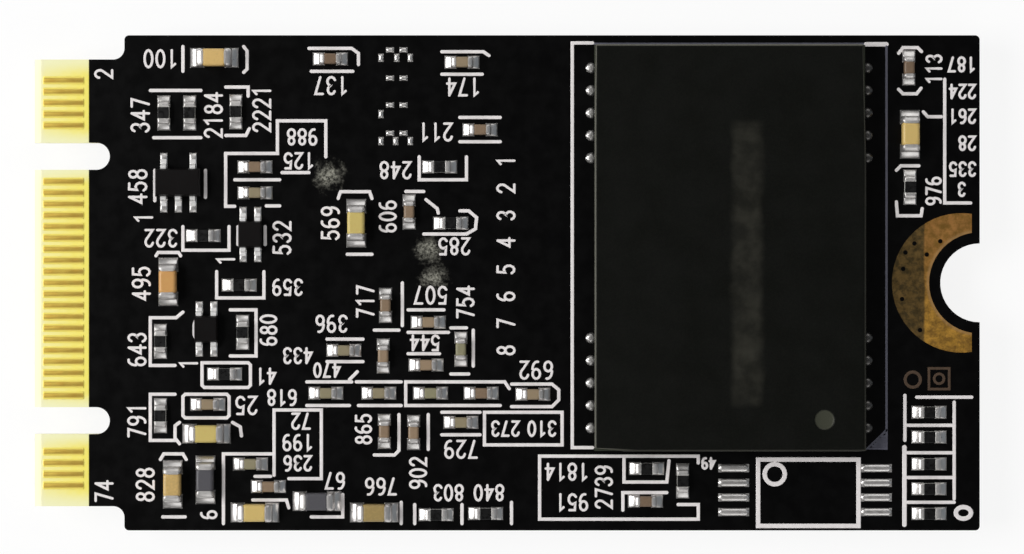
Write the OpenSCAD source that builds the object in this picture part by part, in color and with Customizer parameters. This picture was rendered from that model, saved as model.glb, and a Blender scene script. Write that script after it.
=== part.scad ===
/* [Circuit board] */
// Length from the contact edge to the screw end
board_l = 42; // [41:0.5:110]
// Width behind the tongue
board_w = 22; // [21.5:0.5:30]
// Thickness from one solder mask to the other
board_t = 0.8; // [0.6:0.05:1.6]
// Thickness of each solder mask, and of the copper that lies level with it
mask_t = 0.04; // [0.02:0.01:0.08]
// Width of the tongue that enters the slot
tongue_w = 19.85; // [19.5:0.05:20.5]
// Distance from the contact edge to the shoulders
tongue_l = 4; // [3.8:0.1:4.5]
// Radius between the tongue and each shoulder
shoulder_r = 0.5; // [0.2:0.05:0.7]
// Radius of the outer corners
corner_r = 0.2; // [0.1:0.05:0.8]
// How far the bevel of the contact edge runs back
bevel_l = 0.3; // [0.1:0.05:0.35]
// How much the bevel takes off each face
bevel_h = 0.15; // [0.05:0.01:0.2]

/* [Edge contacts] */
// Distance between neighbouring places, odd ones below and even ones above
place_pitch = 0.25; // [0.24:0.002:0.26]
// Number of places along the edge
place_count = 75; // [67:2:75]
// Width of one contact
contact_w = 0.35; // [0.25:0.01:0.4]
// Length of one contact
contact_l = 1.81; // [1.4:0.01:2]
// Bare laminate in front of the contacts
contact_inset = 0.38; // [0.36:0.01:0.5]
// Bare laminate behind the contacts, up to the solder mask
contact_clear = 0.23; // [0.1:0.01:0.5]

/* [Key notches] */
// Width of a notch
key_w = 1.2; // [0.9:0.05:1.3]
// Depth of a notch from the contact edge
key_l = 3.35; // [3:0.05:3.8]
// Place number at the middle of the first notch
key_b_place = 15.5; // [15.5:1:16.5]
// Place number at the middle of the second notch
key_m_place = 62.5; // [61.5:1:62.5]
// Places that a notch removes on each side of its middle
key_reach = 3.5; // [3.5:1:4.5]

/* [Screw notch and ground pad] */
// Radius of the half-round notch for the screw
notch_r = 1.75; // [1.5:0.05:2]
// Ring of solder mask between the notch and the pad
pad_clear = 0.5; // [0.2:0.05:0.6]
// Radius of the pad's outer edge
pad_r = 3.1; // [2.8:0.05:3.3]
// Distance of the outer edge's centre from the screw end
pad_centre_inset = 0.8; // [0.6:0.05:1]
// Solder mask between the pad and the screw end
pad_edge_clear = 0.35; // [0.1:0.05:0.5]

/* [Flash memory packages] */
// Size along the card
flash_l = 12; // [11:0.5:13]
// Size across the card
flash_w = 18; // [17:0.5:18]
// Distance of the middle from the screw end
flash_from_end = 11.13; // [10.9:0.01:11.6]
// Distance of the middle from the centre line
flash_off = 1.55; // [1:0.05:1.9]
// Distance between solder balls
flash_pitch = 1; // [0.8:0.05:1.05]
// Diameter of a solder ball at its middle
flash_ball_d = 0.45; // [0.3:0.05:0.6]
// Columns of balls on each side of the middle
flash_columns = 4; // [3:1:4]
// Rows of balls on each side of the middle row
flash_rows = 8; // [5:1:8]
// Radius of the dimple that marks the first ball
dimple_r = 0.45; // [0.3:0.05:0.7]
// Depth of the dimple
dimple_h = 0.05; // [0.02:0.01:0.1]
// Distance of the dimple from the package's end edge
dimple_end = 1.85; // [1:0.05:3]
// Distance of the dimple from the package's side edge
dimple_side = 1.4; // [1:0.05:3]

/* [Package heights] */
// Height of the solder balls once melted
ball_h = 0.25; // [0.15:0.05:0.35]
// Thickness of a package's laminate carrier
carrier_t = 0.25; // [0.15:0.05:0.35]
// Thickness of the moulded cap
cap_t = 0.7; // [0.6:0.05:0.85]

/* [Controller] */
// Side of the square package
controller_l = 11; // [9:0.5:11]
// Distance of its middle from the contact edge
controller_x = 16; // [15.5:0.1:16.5]
// Distance of its middle from the centre line
controller_off = -0.5; // [-1:0.1:0]
// Distance between solder balls
controller_pitch = 0.65; // [0.5:0.05:0.7]
// Diameter of a solder ball at its middle
controller_ball_d = 0.35; // [0.25:0.01:0.45]
// Rows of balls on each side of the middle row
controller_rows = 7; // [5:1:7]
// Rings of balls along the edge
controller_rings = 3; // [2:1:4]
// Rows of balls in the middle block, on each side of the middle row
controller_core = 2; // [1:1:2]

/* [Chip capacitors, resistors and beads] */
// Length of a small part
small_l = 1; // [0.9:0.05:1.1]
// Width of a small part
small_w = 0.5; // [0.4:0.05:0.6]
// Height of a small capacitor
small_h = 0.5; // [0.4:0.05:0.6]
// Length of a small part's end caps
small_end = 0.25; // [0.15:0.01:0.3]
// Length of a large part
large_l = 1.6; // [1.4:0.05:1.7]
// Width of a large part
large_w = 0.8; // [0.6:0.05:0.9]
// Height of a large part
large_h = 0.8; // [0.6:0.05:0.9]
// Length of a large part's end caps
large_end = 0.35; // [0.2:0.01:0.45]
// Height of a resistor
resistor_h = 0.35; // [0.3:0.01:0.45]
// Thickness of a resistor's glass coat
coat_t = 0.03; // [0.02:0.01:0.05]
// Thickness of metal on the ends
plating_t = 0.02; // [0.01:0.005:0.04]
// Rounding of tumbled ceramic edges
chip_r = 0.07; // [0.04:0.01:0.1]
// How far a land reaches past the end of its part
land_reach = 0.28; // [0.1:0.01:0.3]
// How far a land is wider than its part, on each side
land_side = 0.04; // [0:0.01:0.1]

/* [Supply chip, five leads] */
// Size of the body along its rows of leads
supply_l = 2; // [1.8:0.05:2.2]
// Size of the body between its rows
supply_w = 1.25; // [1.1:0.05:1.4]
// Height of the body
supply_h = 0.85; // [0.7:0.05:1]
// How far the leads stand out from the body
supply_reach = 0.42; // [0.35:0.01:0.6]
// Distance between leads
supply_pitch = 0.65; // [0.5:0.05:0.75]

/* [Gate chips, four leads] */
// Size of the body along its rows of leads
gate_l = 1.05; // [1:0.05:1.3]
// Size of the body between its rows
gate_w = 1.2; // [1:0.05:1.3]
// Height of the body
gate_h = 0.55; // [0.5:0.05:0.7]
// How far the leads stand out from the body
gate_reach = 0.35; // [0.3:0.01:0.45]
// Distance between leads
gate_pitch = 0.65; // [0.5:0.05:0.7]

/* [Voltage converter chip, six leads] */
// Size of the body along its rows of leads
converter_l = 2.9; // [2.7:0.05:3.1]
// Size of the body between its rows
converter_w = 1.6; // [1.4:0.05:1.8]
// Height of the body
converter_h = 1; // [0.8:0.05:1.05]
// How far the leads stand out from the body
converter_reach = 0.6; // [0.5:0.01:0.7]
// Distance between leads
converter_pitch = 0.95; // [0.8:0.05:1]

/* [Leads and moulded bodies] */
// Thickness of a lead
lead_t = 0.1; // [0.08:0.01:0.12]
// Width of a thin lead
lead_w = 0.24; // [0.2:0.01:0.3]
// Width of a converter lead
lead_wide = 0.4; // [0.3:0.01:0.5]
// Inner radius of a lead's bends
lead_bend_r = 0.06; // [0.03:0.01:0.07]
// Straight stretch of a lead before its first bend
lead_shoulder = 0.03; // [0.01:0.01:0.05]
// How deep a lead is held in its body
lead_grip = 0.15; // [0.1:0.01:0.2]
// Height of a body above the lands
body_stand = 0.05; // [0.03:0.01:0.1]
// How far a moulded body narrows from its middle to its top and bottom
body_draft = 0.08; // [0.04:0.01:0.1]

/* [Power inductor] */
// Length
inductor_l = 2.5; // [2:0.1:2.6]
// Width
inductor_w = 2; // [1.6:0.1:2.1]
// Height
inductor_h = 1; // [0.8:0.05:1.1]
// Length of its end caps
inductor_end = 0.5; // [0.3:0.05:0.7]
// Rounding of its edges
inductor_r = 0.12; // [0.05:0.01:0.15]

/* [Crystal] */
// Length
crystal_l = 2.5; // [2.3:0.1:2.6]
// Width
crystal_w = 2; // [1.6:0.1:2.1]
// Height of the ceramic base
crystal_base_h = 0.4; // [0.3:0.05:0.5]
// Height of the metal lid
crystal_lid_h = 0.15; // [0.1:0.05:0.3]
// Rim of the base round the lid
crystal_rim = 0.15; // [0.1:0.01:0.25]
// Radius of the quarter-round corner grooves of the base
groove_r = 0.15; // [0.1:0.01:0.2]
// Radius of the lid's corners
lid_r = 0.25; // [0.1:0.01:0.35]
// Length of a land under the crystal
crystal_land = 0.8; // [0.6:0.05:0.9]

/* [Placement] */
// Distance on the board that one unit of the placement lists stands for
grid = 1; // [0.98:0.005:1.02]

/* [Lands of parts that aren't fitted] */
// Distance of the eight-lead outline's middle from the screw end
bare_chip_from_end = 7.76; // [7.5:0.01:7.9]
// Distance of its middle below the centre line
bare_chip_off = 9.21; // [9.1:0.01:9.3]
// Distance from its middle to the middle of a row of lands
bare_row = 3.17; // [3:0.01:3.3]
// Length of one land
bare_land_l = 1.37; // [1.2:0.01:1.5]
// Width of one land
bare_land_w = 0.36; // [0.3:0.01:0.45]
// Distance between its lands
bare_pitch = 0.65; // [0.6:0.01:0.65]
// Diameter of the round lands beside the flash package
round_land_d = 0.46; // [0.3:0.01:0.6]
// Distance of their rows from the package's middle
round_land_row = 6.14; // [6.12:0.01:6.3]
// Length of a tiny land
tiny_land_l = 0.36; // [0.3:0.01:0.4]
// Width of a tiny land
tiny_land_w = 0.24; // [0.2:0.01:0.28]

/* [Hidden] */
$fn = 48;

// Heights: the card lies on the packages of its lower face
package_h = ball_h + carrier_t + cap_t;
low_z = package_h;
high_z = package_h + board_t;
core_t = board_t - 2 * mask_t;
mask_start = contact_inset + contact_l + contact_clear;

// Places along the contact edge
function in_key(n) = abs(n - key_b_place) <= key_reach || abs(n - key_m_place) <= key_reach;
places = [for (n = [1 : place_count]) if (!in_key(n)) n];
even_places = [for (n = places) if (n % 2 == 0) n];
odd_places = [for (n = places) if (n % 2 == 1) n];
function place_y(n) = ((place_count + 1) / 2 - n) * place_pitch;

// Placement lists: distance from the contact edge or the screw end, distance from the centre line, turn
function from_edge(list) = [for (p = list) [grid * p[0], grid * p[1], p[2]]];
function from_end(list) = [for (p = list) [board_l - grid * p[0], grid * p[1], p[2]]];
front_large = concat(
    from_edge([[8, 10, 0], [5.95, 0.05, 90], [14.3, 2.65, 90], [7.65, -6.7, 0], [6.15, -8.95, 90],
        [9.8, -10.2, 0], [15.1, -10.2, 0]]),
    from_end([[3.1, 6.6, 90]]));
front_small = concat(
    from_edge([[13.15, 9.95, 0], [19, 9.8, 0], [19.8, 6.8, 0], [9.8, 5.15, 0], [9.8, 4, 0], [16.65, 3.15, 90],
        [15.6, -1, 90], [17.5, -1.75, 0], [18.95, -2.95, 90], [13.75, -3, 0], [15.5, -3.25, 90],
        [17.4, -3.65, 0], [12.95, -4.9, 0], [15.3, -4.9, 0], [17.6, -4.9, 0], [19.85, -4.9, 0],
        [22.15, -4.95, 0], [7.7, -5.4, 0], [15.55, -6.6, 90], [16.85, -6.65, 90], [18.95, -6.2, 0],
        [9.6, -8.05, 0], [10.4, -9.05, 0]]),
    from_end([[3.15, 9.55, 90], [14.85, -9.7, 0]]));
front_resistors = concat(
    from_edge([[5.75, 7.55, 90], [6.9, 7.55, 90], [8.95, 7.6, 90], [7.5, 2.1, 0], [9.1, -0.1, 0],
        [9.25, -2.2, 90], [5.6, -2.6, 90], [8.45, -4.05, 0], [5.6, -5.9, 90], [18, 5.15, 0],
        [18.5, 2.65, 0], [17.85, -10.3, 0], [20.05, -10.25, 0]]),
    from_end([[3.1, 4.25, 90], [14.8, -8.25, 0], [13.2, -8.8, 90],
        [2.25, -5.75, 0], [2.25, -6.85, 0], [2.25, -8.05, 0], [2.25, -9.15, 0], [2.25, -10.25, 0]]));
beads = from_edge([[7.6, -8.75, 90], [12.55, -9.7, 0]]);
supply_chip = from_edge([[6.4, 4.45, 0]])[0];
gate_chips = from_edge([[9.6, 2.15, 0], [7.65, -2.05, 0]]);
back_large = from_edge([[5.6, -0.6, 90], [8.2, -1.6, 90], [12.5, 8.6, 0], [16.5, 8.6, 0], [20.5, 8.6, 0],
        [7.6, -9.4, 0]]);
back_small = concat(
    from_edge([[11.6, 6.4, 0], [13.9, 6.4, 0], [16.2, 6.4, 0], [18.5, 6.4, 0], [20.8, 6.4, 0],
        [11.6, -7.4, 0], [13.9, -7.4, 0], [16.2, -7.4, 0], [18.5, -7.4, 0], [20.8, -7.4, 0]]),
    from_end([[3.1, 9, 90], [3.1, 6.4, 90], [3.1, -5.4, 90], [8.5, -9.4, 0], [12, -9.4, 0],
        [15.5, -9.4, 0]]));
back_resistors = from_edge([[5.4, -5.6, 90], [6.8, -5.6, 90], [8.2, -5.6, 90], [12.4, -9.6, 0], [15, -9.6, 0],
        [17.6, -9.6, 0], [20.2, -9.6, 0], [22.9, -6.4, 90], [22.9, 4.4, 90]]);
converter_chip = from_edge([[7, 7.6, 0]])[0];
inductor = from_edge([[6.9, 3.4, 0]])[0];
crystal = from_edge([[23.1, -1.2, 90]])[0];
tiny_lands = from_edge([[15.8, 10.35, 0], [16.4, 10.35, 0], [15.4, 10, 90], [16.1, 10, 90], [16.7, 10, 90],
        [15.8, 9.1, 0], [16.4, 9.1, 0], [15.8, 7.9, 0], [16.4, 7.9, 0], [15.4, 7.5, 90],
        [15.8, 6.65, 0], [16.4, 6.65, 0], [15.4, 6.3, 90], [16.05, 6.3, 90], [16.7, 6.3, 90]]);

// Chip leads, as distances from the middle of their row: far side, near side
supply_rows = [[-supply_pitch, supply_pitch], [-supply_pitch, 0, supply_pitch]];
gate_rows = [[-gate_pitch / 2, gate_pitch / 2], [-gate_pitch / 2, gate_pitch / 2]];
converter_rows = [[-converter_pitch, 0, converter_pitch], [-converter_pitch, 0, converter_pitch]];

// Places a drawing or a part on one face; on the lower face it is seen through the card
module spot(p) translate([p[0] - board_l / 2, p[1]]) rotate(p[2]) children();
module on_front() translate([0, 0, high_z]) children();
module on_back() translate([0, 0, low_z]) mirror([0, 0, 1]) children();

// Rectangle with true round corners
module round_rect(l, w, r) {
    square([l - 2 * r, w], center = true);
    square([l, w - 2 * r], center = true);
    for (x = [-1, 1], y = [-1, 1]) translate([x * (l / 2 - r), y * (w / 2 - r)]) circle(r);
}

// Outline of the board with its tongue, shoulders, key notches and screw notch
module board_outline() {
    translate([-board_l / 2, 0]) difference() {
        union() {
            translate([0, -tongue_w / 2]) square([tongue_l + corner_r, tongue_w]);
            translate([(tongue_l + board_l) / 2, 0]) round_rect(board_l - tongue_l, board_w, corner_r);
            for (side = [-1, 1]) scale([1, side]) shoulder_fillet();
        }
        for (n = [key_b_place, key_m_place]) translate([0, place_y(n)]) key_notch();
        translate([board_l, 0]) circle(notch_r);
    }
}
module shoulder_fillet() {
    translate([tongue_l, tongue_w / 2]) difference() {
        translate([-shoulder_r, 0]) square(shoulder_r);
        translate([-shoulder_r, shoulder_r]) circle(shoulder_r);
    }
}
module key_notch() {
    translate([-1, -key_w / 2]) square([key_l - key_w / 2 + 1, key_w]);
    translate([key_l - key_w / 2, 0]) circle(key_w / 2);
}

// Side view of the laminate, bevelled at the contact edge
module board_section() {
    polygon([[0, bevel_h], [bevel_l, 0], [board_l, 0],
        [board_l, core_t], [bevel_l, core_t], [0, core_t - bevel_h]]);
}
module circuit_board() {
    color("#8f8a3c") translate([0, 0, low_z + mask_t]) intersection() {
        linear_extrude(core_t) board_outline();
        translate([-board_l / 2, board_w / 2, 0]) rotate([90, 0, 0]) linear_extrude(board_w) board_section();
    }
}

// Flat drawings of the copper that stays bare
module contact_row(list) {
    for (n = list) translate([contact_inset - board_l / 2, place_y(n) - contact_w / 2])
        square([contact_l, contact_w]);
}
module ground_ring() {
    intersection() {
        difference() {
            translate([board_l / 2 - pad_centre_inset, 0]) circle(pad_r);
            translate([board_l / 2, 0]) circle(notch_r + pad_clear);
        }
        translate([0, -board_w / 2]) square([board_l / 2 - pad_edge_clear, board_w]);
    }
}
module pair_lands(l, w, end) {
    for (side = [-1, 1]) translate([side * ((l - end + land_reach) / 2), 0])
        square([end + land_reach, w + 2 * land_side], center = true);
}
module lead_lands(rows, body_w, reach, width) {
    for (side = [0, 1]) for (x = rows[side]) translate([x, (1 - 2 * side) * (body_w + reach) / 2])
        translate([0, (1 - 2 * side) * land_reach / 2])
            square([width + 2 * land_side, reach + land_reach], center = true);
}
module crystal_lands() {
    for (x = [-1, 1], y = [-1, 1])
        translate([x * (crystal_l - crystal_land) / 2, y * (crystal_w - crystal_land) / 2])
            square(crystal_land, center = true);
}
module unfitted_lands() {
    for (side = [-1, 1], row = [-1.5 : 1.5])
        spot([board_l - bare_chip_from_end + side * bare_row, -bare_chip_off + row * bare_pitch, 0])
            square([bare_land_l, bare_land_w], center = true);
    for (side = [-1, 1], half = [-1, 1], row = [flash_rows / 2 : flash_rows])
        spot([board_l - flash_from_end + side * round_land_row, flash_off + half * row * flash_pitch, 0])
            circle(d = round_land_d);
    for (p = tiny_lands) spot(p) square([tiny_land_l, tiny_land_w], center = true);
}
module front_land_drawing() {
    for (p = front_large) spot(p) pair_lands(large_l, large_w, large_end);
    for (p = beads) spot(p) pair_lands(large_l, large_w, large_end);
    for (p = front_small) spot(p) pair_lands(small_l, small_w, small_end);
    for (p = front_resistors) spot(p) pair_lands(small_l, small_w, small_end);
    spot(supply_chip) lead_lands(supply_rows, supply_w, supply_reach, lead_w);
    for (p = gate_chips) spot(p) lead_lands(gate_rows, gate_w, gate_reach, lead_w);
    unfitted_lands();
}
module back_land_drawing() {
    for (p = back_large) spot(p) pair_lands(large_l, large_w, large_end);
    for (p = back_small) spot(p) pair_lands(small_l, small_w, small_end);
    for (p = back_resistors) spot(p) pair_lands(small_l, small_w, small_end);
    spot(converter_chip) lead_lands(converter_rows, converter_w, converter_reach, lead_wide);
    spot(inductor) pair_lands(inductor_l, inductor_w, inductor_end);
    spot(crystal) crystal_lands();
}

// Solder mask: the board's outline behind the contacts, open at every land and at the ground pad
module mask_drawing() {
    difference() {
        intersection() {
            board_outline();
            translate([mask_start - board_l / 2, -board_w / 2]) square([board_l - mask_start, board_w]);
        }
        ground_ring();
        children();
    }
}
module front_solder_mask() {
    color("#101010") translate([0, 0, high_z - mask_t]) linear_extrude(mask_t)
        mask_drawing() front_land_drawing();
}
module back_solder_mask() {
    color("#101010") translate([0, 0, low_z]) linear_extrude(mask_t) mask_drawing() back_land_drawing();
}
module front_contacts() {
    color("#d9b23c") translate([0, 0, high_z - mask_t]) linear_extrude(mask_t) contact_row(even_places);
}
module back_contacts() {
    color("#d9b23c") translate([0, 0, low_z]) linear_extrude(mask_t) contact_row(odd_places);
}
module front_ground_pad() {
    color("#c49a3a") translate([0, 0, high_z - mask_t]) linear_extrude(mask_t) ground_ring();
}
module back_ground_pad() {
    color("#c49a3a") translate([0, 0, low_z]) linear_extrude(mask_t) ground_ring();
}
module front_lands() {
    color("silver") translate([0, 0, high_z - mask_t]) linear_extrude(mask_t) front_land_drawing();
}
module back_lands() {
    color("silver") translate([0, 0, low_z]) linear_extrude(mask_t) back_land_drawing();
}

// Ball-mounted packages: melted balls, laminate carrier, moulded cap with a dimple
module melted_ball(d) {
    neck_r = 0.7 * d / 2;
    rotate_extrude() polygon([[0, 0], [neck_r, 0], [d / 2, ball_h / 2], [neck_r, ball_h], [0, ball_h]]);
}
module flash_balls() {
    for (side = [-1, 1], column = [2 : flash_columns + 1], row = [-flash_rows : flash_rows])
        if (column <= flash_columns || abs(row) < flash_rows)
            translate([side * column * flash_pitch, row * flash_pitch]) melted_ball(flash_ball_d);
}
module grid_balls() {
    for (x = [-controller_rows : controller_rows], y = [-controller_rows : controller_rows]) {
        ring = controller_rows - max(abs(x), abs(y));
        if (ring < controller_rings || max(abs(x), abs(y)) <= controller_core)
            translate([x * controller_pitch, y * controller_pitch]) melted_ball(controller_ball_d);
    }
}
module carrier(l, w) {
    translate([-l / 2, -w / 2, ball_h]) cube([l, w, carrier_t]);
}
module cap(l, w) {
    translate([0, 0, ball_h + carrier_t]) difference() {
        translate([-l / 2, -w / 2, 0]) cube([l, w, cap_t]);
        translate([l / 2 - dimple_end, dimple_side - w / 2, cap_t - dimple_h])
            cylinder(h = dimple_h + 1, r = dimple_r);
    }
}
flash_spot = [board_l - flash_from_end, flash_off, 0];
controller_spot = [controller_x, controller_off, 0];
module front_flash_cap() {
    color("#262622") on_front() spot(flash_spot) cap(flash_l, flash_w);
}
module front_flash_carrier() {
    color("#2f3a26") on_front() spot(flash_spot) carrier(flash_l, flash_w);
}
module front_flash_balls() {
    color("silver") on_front() spot(flash_spot) flash_balls();
}
module back_flash_cap() {
    color("#262622") on_back() spot(flash_spot) cap(flash_l, flash_w);
}
module back_flash_carrier() {
    color("#2f3a26") on_back() spot(flash_spot) carrier(flash_l, flash_w);
}
module back_flash_balls() {
    color("silver") on_back() spot(flash_spot) flash_balls();
}
module controller_cap() {
    color("#222224") on_back() spot(controller_spot) cap(controller_l, controller_l);
}
module controller_carrier() {
    color("#2f3a26") on_back() spot(controller_spot) carrier(controller_l, controller_l);
}
module controller_balls() {
    color("silver") on_back() spot(controller_spot) grid_balls();
}

// Ceramic blocks with cup-shaped end caps: capacitors, beads and the inductor
module round_bar(l, w, h, r) {
    translate([-l / 2, 0, h / 2]) rotate([90, 0, 90]) linear_extrude(l) round_rect(w, h, r);
}
module block_body(l, w, h, r) {
    skin = 2 * plating_t;
    translate([0, 0, plating_t]) round_bar(l - skin, w - skin, h - skin, r - plating_t);
}
module block_ends(l, w, h, r, end) {
    for (side = [-1, 1]) difference() {
        translate([side * (l - end) / 2, 0, 0]) round_bar(end, w, h, r);
        block_body(l, w, h, r);
    }
}
module large_bodies(list) {
    for (p = list) spot(p) block_body(large_l, large_w, large_h, chip_r);
}
module large_ends(list) {
    for (p = list) spot(p) block_ends(large_l, large_w, large_h, chip_r, large_end);
}
module small_bodies(list) {
    for (p = list) spot(p) block_body(small_l, small_w, small_h, chip_r);
}
module small_ends(list) {
    for (p = list) spot(p) block_ends(small_l, small_w, small_h, chip_r, small_end);
}
module front_large_capacitor_bodies() {
    color("#d8b062") on_front() large_bodies(front_large);
}
module front_large_capacitor_ends() {
    color("silver") on_front() large_ends(front_large);
}
module front_small_capacitor_bodies() {
    color("#8d7a5c") on_front() small_bodies(front_small);
}
module front_small_capacitor_ends() {
    color("silver") on_front() small_ends(front_small);
}
module back_large_capacitor_bodies() {
    color("#d8b062") on_back() large_bodies(back_large);
}
module back_large_capacitor_ends() {
    color("silver") on_back() large_ends(back_large);
}
module back_small_capacitor_bodies() {
    color("#8d7a5c") on_back() small_bodies(back_small);
}
module back_small_capacitor_ends() {
    color("silver") on_back() small_ends(back_small);
}
module ferrite_bead_bodies() {
    color("#55555a") on_front() large_bodies(beads);
}
module ferrite_bead_ends() {
    color("silver") on_front() large_ends(beads);
}
module inductor_core() {
    color("#4a4a4c") on_back() spot(inductor) block_body(inductor_l, inductor_w, inductor_h, inductor_r);
}
module inductor_ends() {
    color("silver") on_back() spot(inductor)
        block_ends(inductor_l, inductor_w, inductor_h, inductor_r, inductor_end);
}

// Chip resistors: ceramic slab, glass coat between the ends, clips round the ends
module resistor_slabs(list) {
    slab_l = small_l - 2 * plating_t;
    for (p = list) spot(p) translate([-slab_l / 2, -small_w / 2, plating_t])
        cube([slab_l, small_w, resistor_h - 2 * plating_t]);
}
module resistor_coats(list) {
    coat_l = small_l - 2 * small_end;
    for (p = list) spot(p) translate([-coat_l / 2, -small_w / 2, resistor_h - plating_t])
        cube([coat_l, small_w, coat_t]);
}
module clip_section() {
    polygon([[-small_end, 0], [0, 0], [0, resistor_h], [-small_end, resistor_h],
        [-small_end, resistor_h - plating_t], [-plating_t, resistor_h - plating_t],
        [-plating_t, plating_t], [-small_end, plating_t]]);
}
module resistor_ends(list) {
    for (p = list, side = [0, 180]) spot(p) rotate(side)
        translate([small_l / 2, small_w / 2, 0]) rotate([90, 0, 0]) linear_extrude(small_w) clip_section();
}
module front_resistor_slabs() {
    color("#e8e6df") on_front() resistor_slabs(front_resistors);
}
module front_resistor_coats() {
    color("#0c0c0d") on_front() resistor_coats(front_resistors);
}
module front_resistor_ends() {
    color("silver") on_front() resistor_ends(front_resistors);
}
module back_resistor_slabs() {
    color("#e8e6df") on_back() resistor_slabs(back_resistors);
}
module back_resistor_coats() {
    color("#0c0c0d") on_back() resistor_coats(back_resistors);
}
module back_resistor_ends() {
    color("silver") on_back() resistor_ends(back_resistors);
}

// Chips with gull-wing leads. A lead leaves the body level, bends down and bends out to its foot
module quarter_ring(turn) {
    rotate(turn) intersection() {
        difference() {
            circle(lead_bend_r + lead_t);
            circle(lead_bend_r);
        }
        square(lead_bend_r + lead_t);
    }
}
module lead_section(reach, exit_h) {
    upper_x = lead_shoulder;
    lower_x = lead_shoulder + 2 * lead_bend_r + lead_t;
    translate([-lead_grip, exit_h]) square([upper_x + lead_grip, lead_t]);
    translate([upper_x, exit_h - lead_bend_r]) quarter_ring(0);
    riser_h = exit_h - lead_t - 2 * lead_bend_r;
    translate([upper_x + lead_bend_r, lead_t + lead_bend_r]) square([lead_t, riser_h]);
    translate([lower_x, lead_t + lead_bend_r]) quarter_ring(180);
    translate([lower_x, 0]) square([reach - lower_x, lead_t]);
}
module leads(rows, body_w, body_h, reach, width) {
    exit_h = body_stand + (body_h - lead_t) / 2;
    for (side = [0, 1]) for (x = rows[side]) translate([x, (1 - 2 * side) * body_w / 2, 0])
        rotate(90 + 180 * side) translate([0, width / 2, 0]) rotate([90, 0, 0])
            linear_extrude(width) lead_section(reach, exit_h);
}
module mould_section(l, h) {
    polygon([[body_draft - l / 2, 0], [l / 2 - body_draft, 0], [l / 2, h / 2], [l / 2 - body_draft, h],
        [body_draft - l / 2, h], [-l / 2, h / 2]]);
}
module moulded_body(l, w, h) {
    translate([0, 0, body_stand]) intersection() {
        translate([0, w / 2, 0]) rotate([90, 0, 0]) linear_extrude(w) mould_section(l, h);
        translate([-l / 2, 0, 0]) rotate([90, 0, 90]) linear_extrude(l) mould_section(w, h);
    }
}
module supply_leads() {
    leads(supply_rows, supply_w, supply_h, supply_reach, lead_w);
}
module gate_leads() {
    leads(gate_rows, gate_w, gate_h, gate_reach, lead_w);
}
module converter_leads() {
    leads(converter_rows, converter_w, converter_h, converter_reach, lead_wide);
}
module supply_chip_body() {
    color("#1c1a1a") on_front() spot(supply_chip) difference() {
        moulded_body(supply_l, supply_w, supply_h);
        supply_leads();
    }
}
module supply_chip_leads() {
    color("silver") on_front() spot(supply_chip) supply_leads();
}
module gate_chip_bodies() {
    color("#1c1a1a") on_front() for (p = gate_chips) spot(p) difference() {
        moulded_body(gate_l, gate_w, gate_h);
        gate_leads();
    }
}
module gate_chip_leads() {
    color("silver") on_front() for (p = gate_chips) spot(p) gate_leads();
}
module converter_chip_body() {
    color("#1c1a1a") on_back() spot(converter_chip) difference() {
        moulded_body(converter_l, converter_w, converter_h);
        converter_leads();
    }
}
module converter_chip_leads() {
    color("silver") on_back() spot(converter_chip) converter_leads();
}

// Crystal: ceramic base with grooved corners under a thin metal lid
module crystal_base() {
    color("#d9d4c6") on_back() spot(crystal) linear_extrude(crystal_base_h) difference() {
        square([crystal_l, crystal_w], center = true);
        for (x = [-1, 1], y = [-1, 1]) translate([x * crystal_l / 2, y * crystal_w / 2]) circle(groove_r);
    }
}
module crystal_lid() {
    color("#c9cbcd") on_back() spot(crystal) translate([0, 0, crystal_base_h]) linear_extrude(crystal_lid_h)
        round_rect(crystal_l - 2 * crystal_rim, crystal_w - 2 * crystal_rim, lid_r);
}

circuit_board();
front_solder_mask();
back_solder_mask();
front_contacts();
back_contacts();
front_ground_pad();
back_ground_pad();
front_lands();
back_lands();
front_flash_cap();
front_flash_carrier();
front_flash_balls();
back_flash_cap();
back_flash_carrier();
back_flash_balls();
controller_cap();
controller_carrier();
controller_balls();
front_large_capacitor_bodies();
front_large_capacitor_ends();
front_small_capacitor_bodies();
front_small_capacitor_ends();
front_resistor_slabs();
front_resistor_coats();
front_resistor_ends();
ferrite_bead_bodies();
ferrite_bead_ends();
supply_chip_body();
supply_chip_leads();
gate_chip_bodies();
gate_chip_leads();
back_large_capacitor_bodies();
back_large_capacitor_ends();
back_small_capacitor_bodies();
back_small_capacitor_ends();
back_resistor_slabs();
back_resistor_coats();
back_resistor_ends();
converter_chip_body();
converter_chip_leads();
inductor_core();
inductor_ends();
crystal_base();
crystal_lid();
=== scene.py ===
"""Gumstick solid state drive: one card, finished piece by piece from the bare board up.

Lengths are in metres like the frame's, and MM turns a drawing's millimetres into them. On the card, x is the
distance from the contact edge and y the distance from the centre line, towards the top of the picture.
"""

import math

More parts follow.
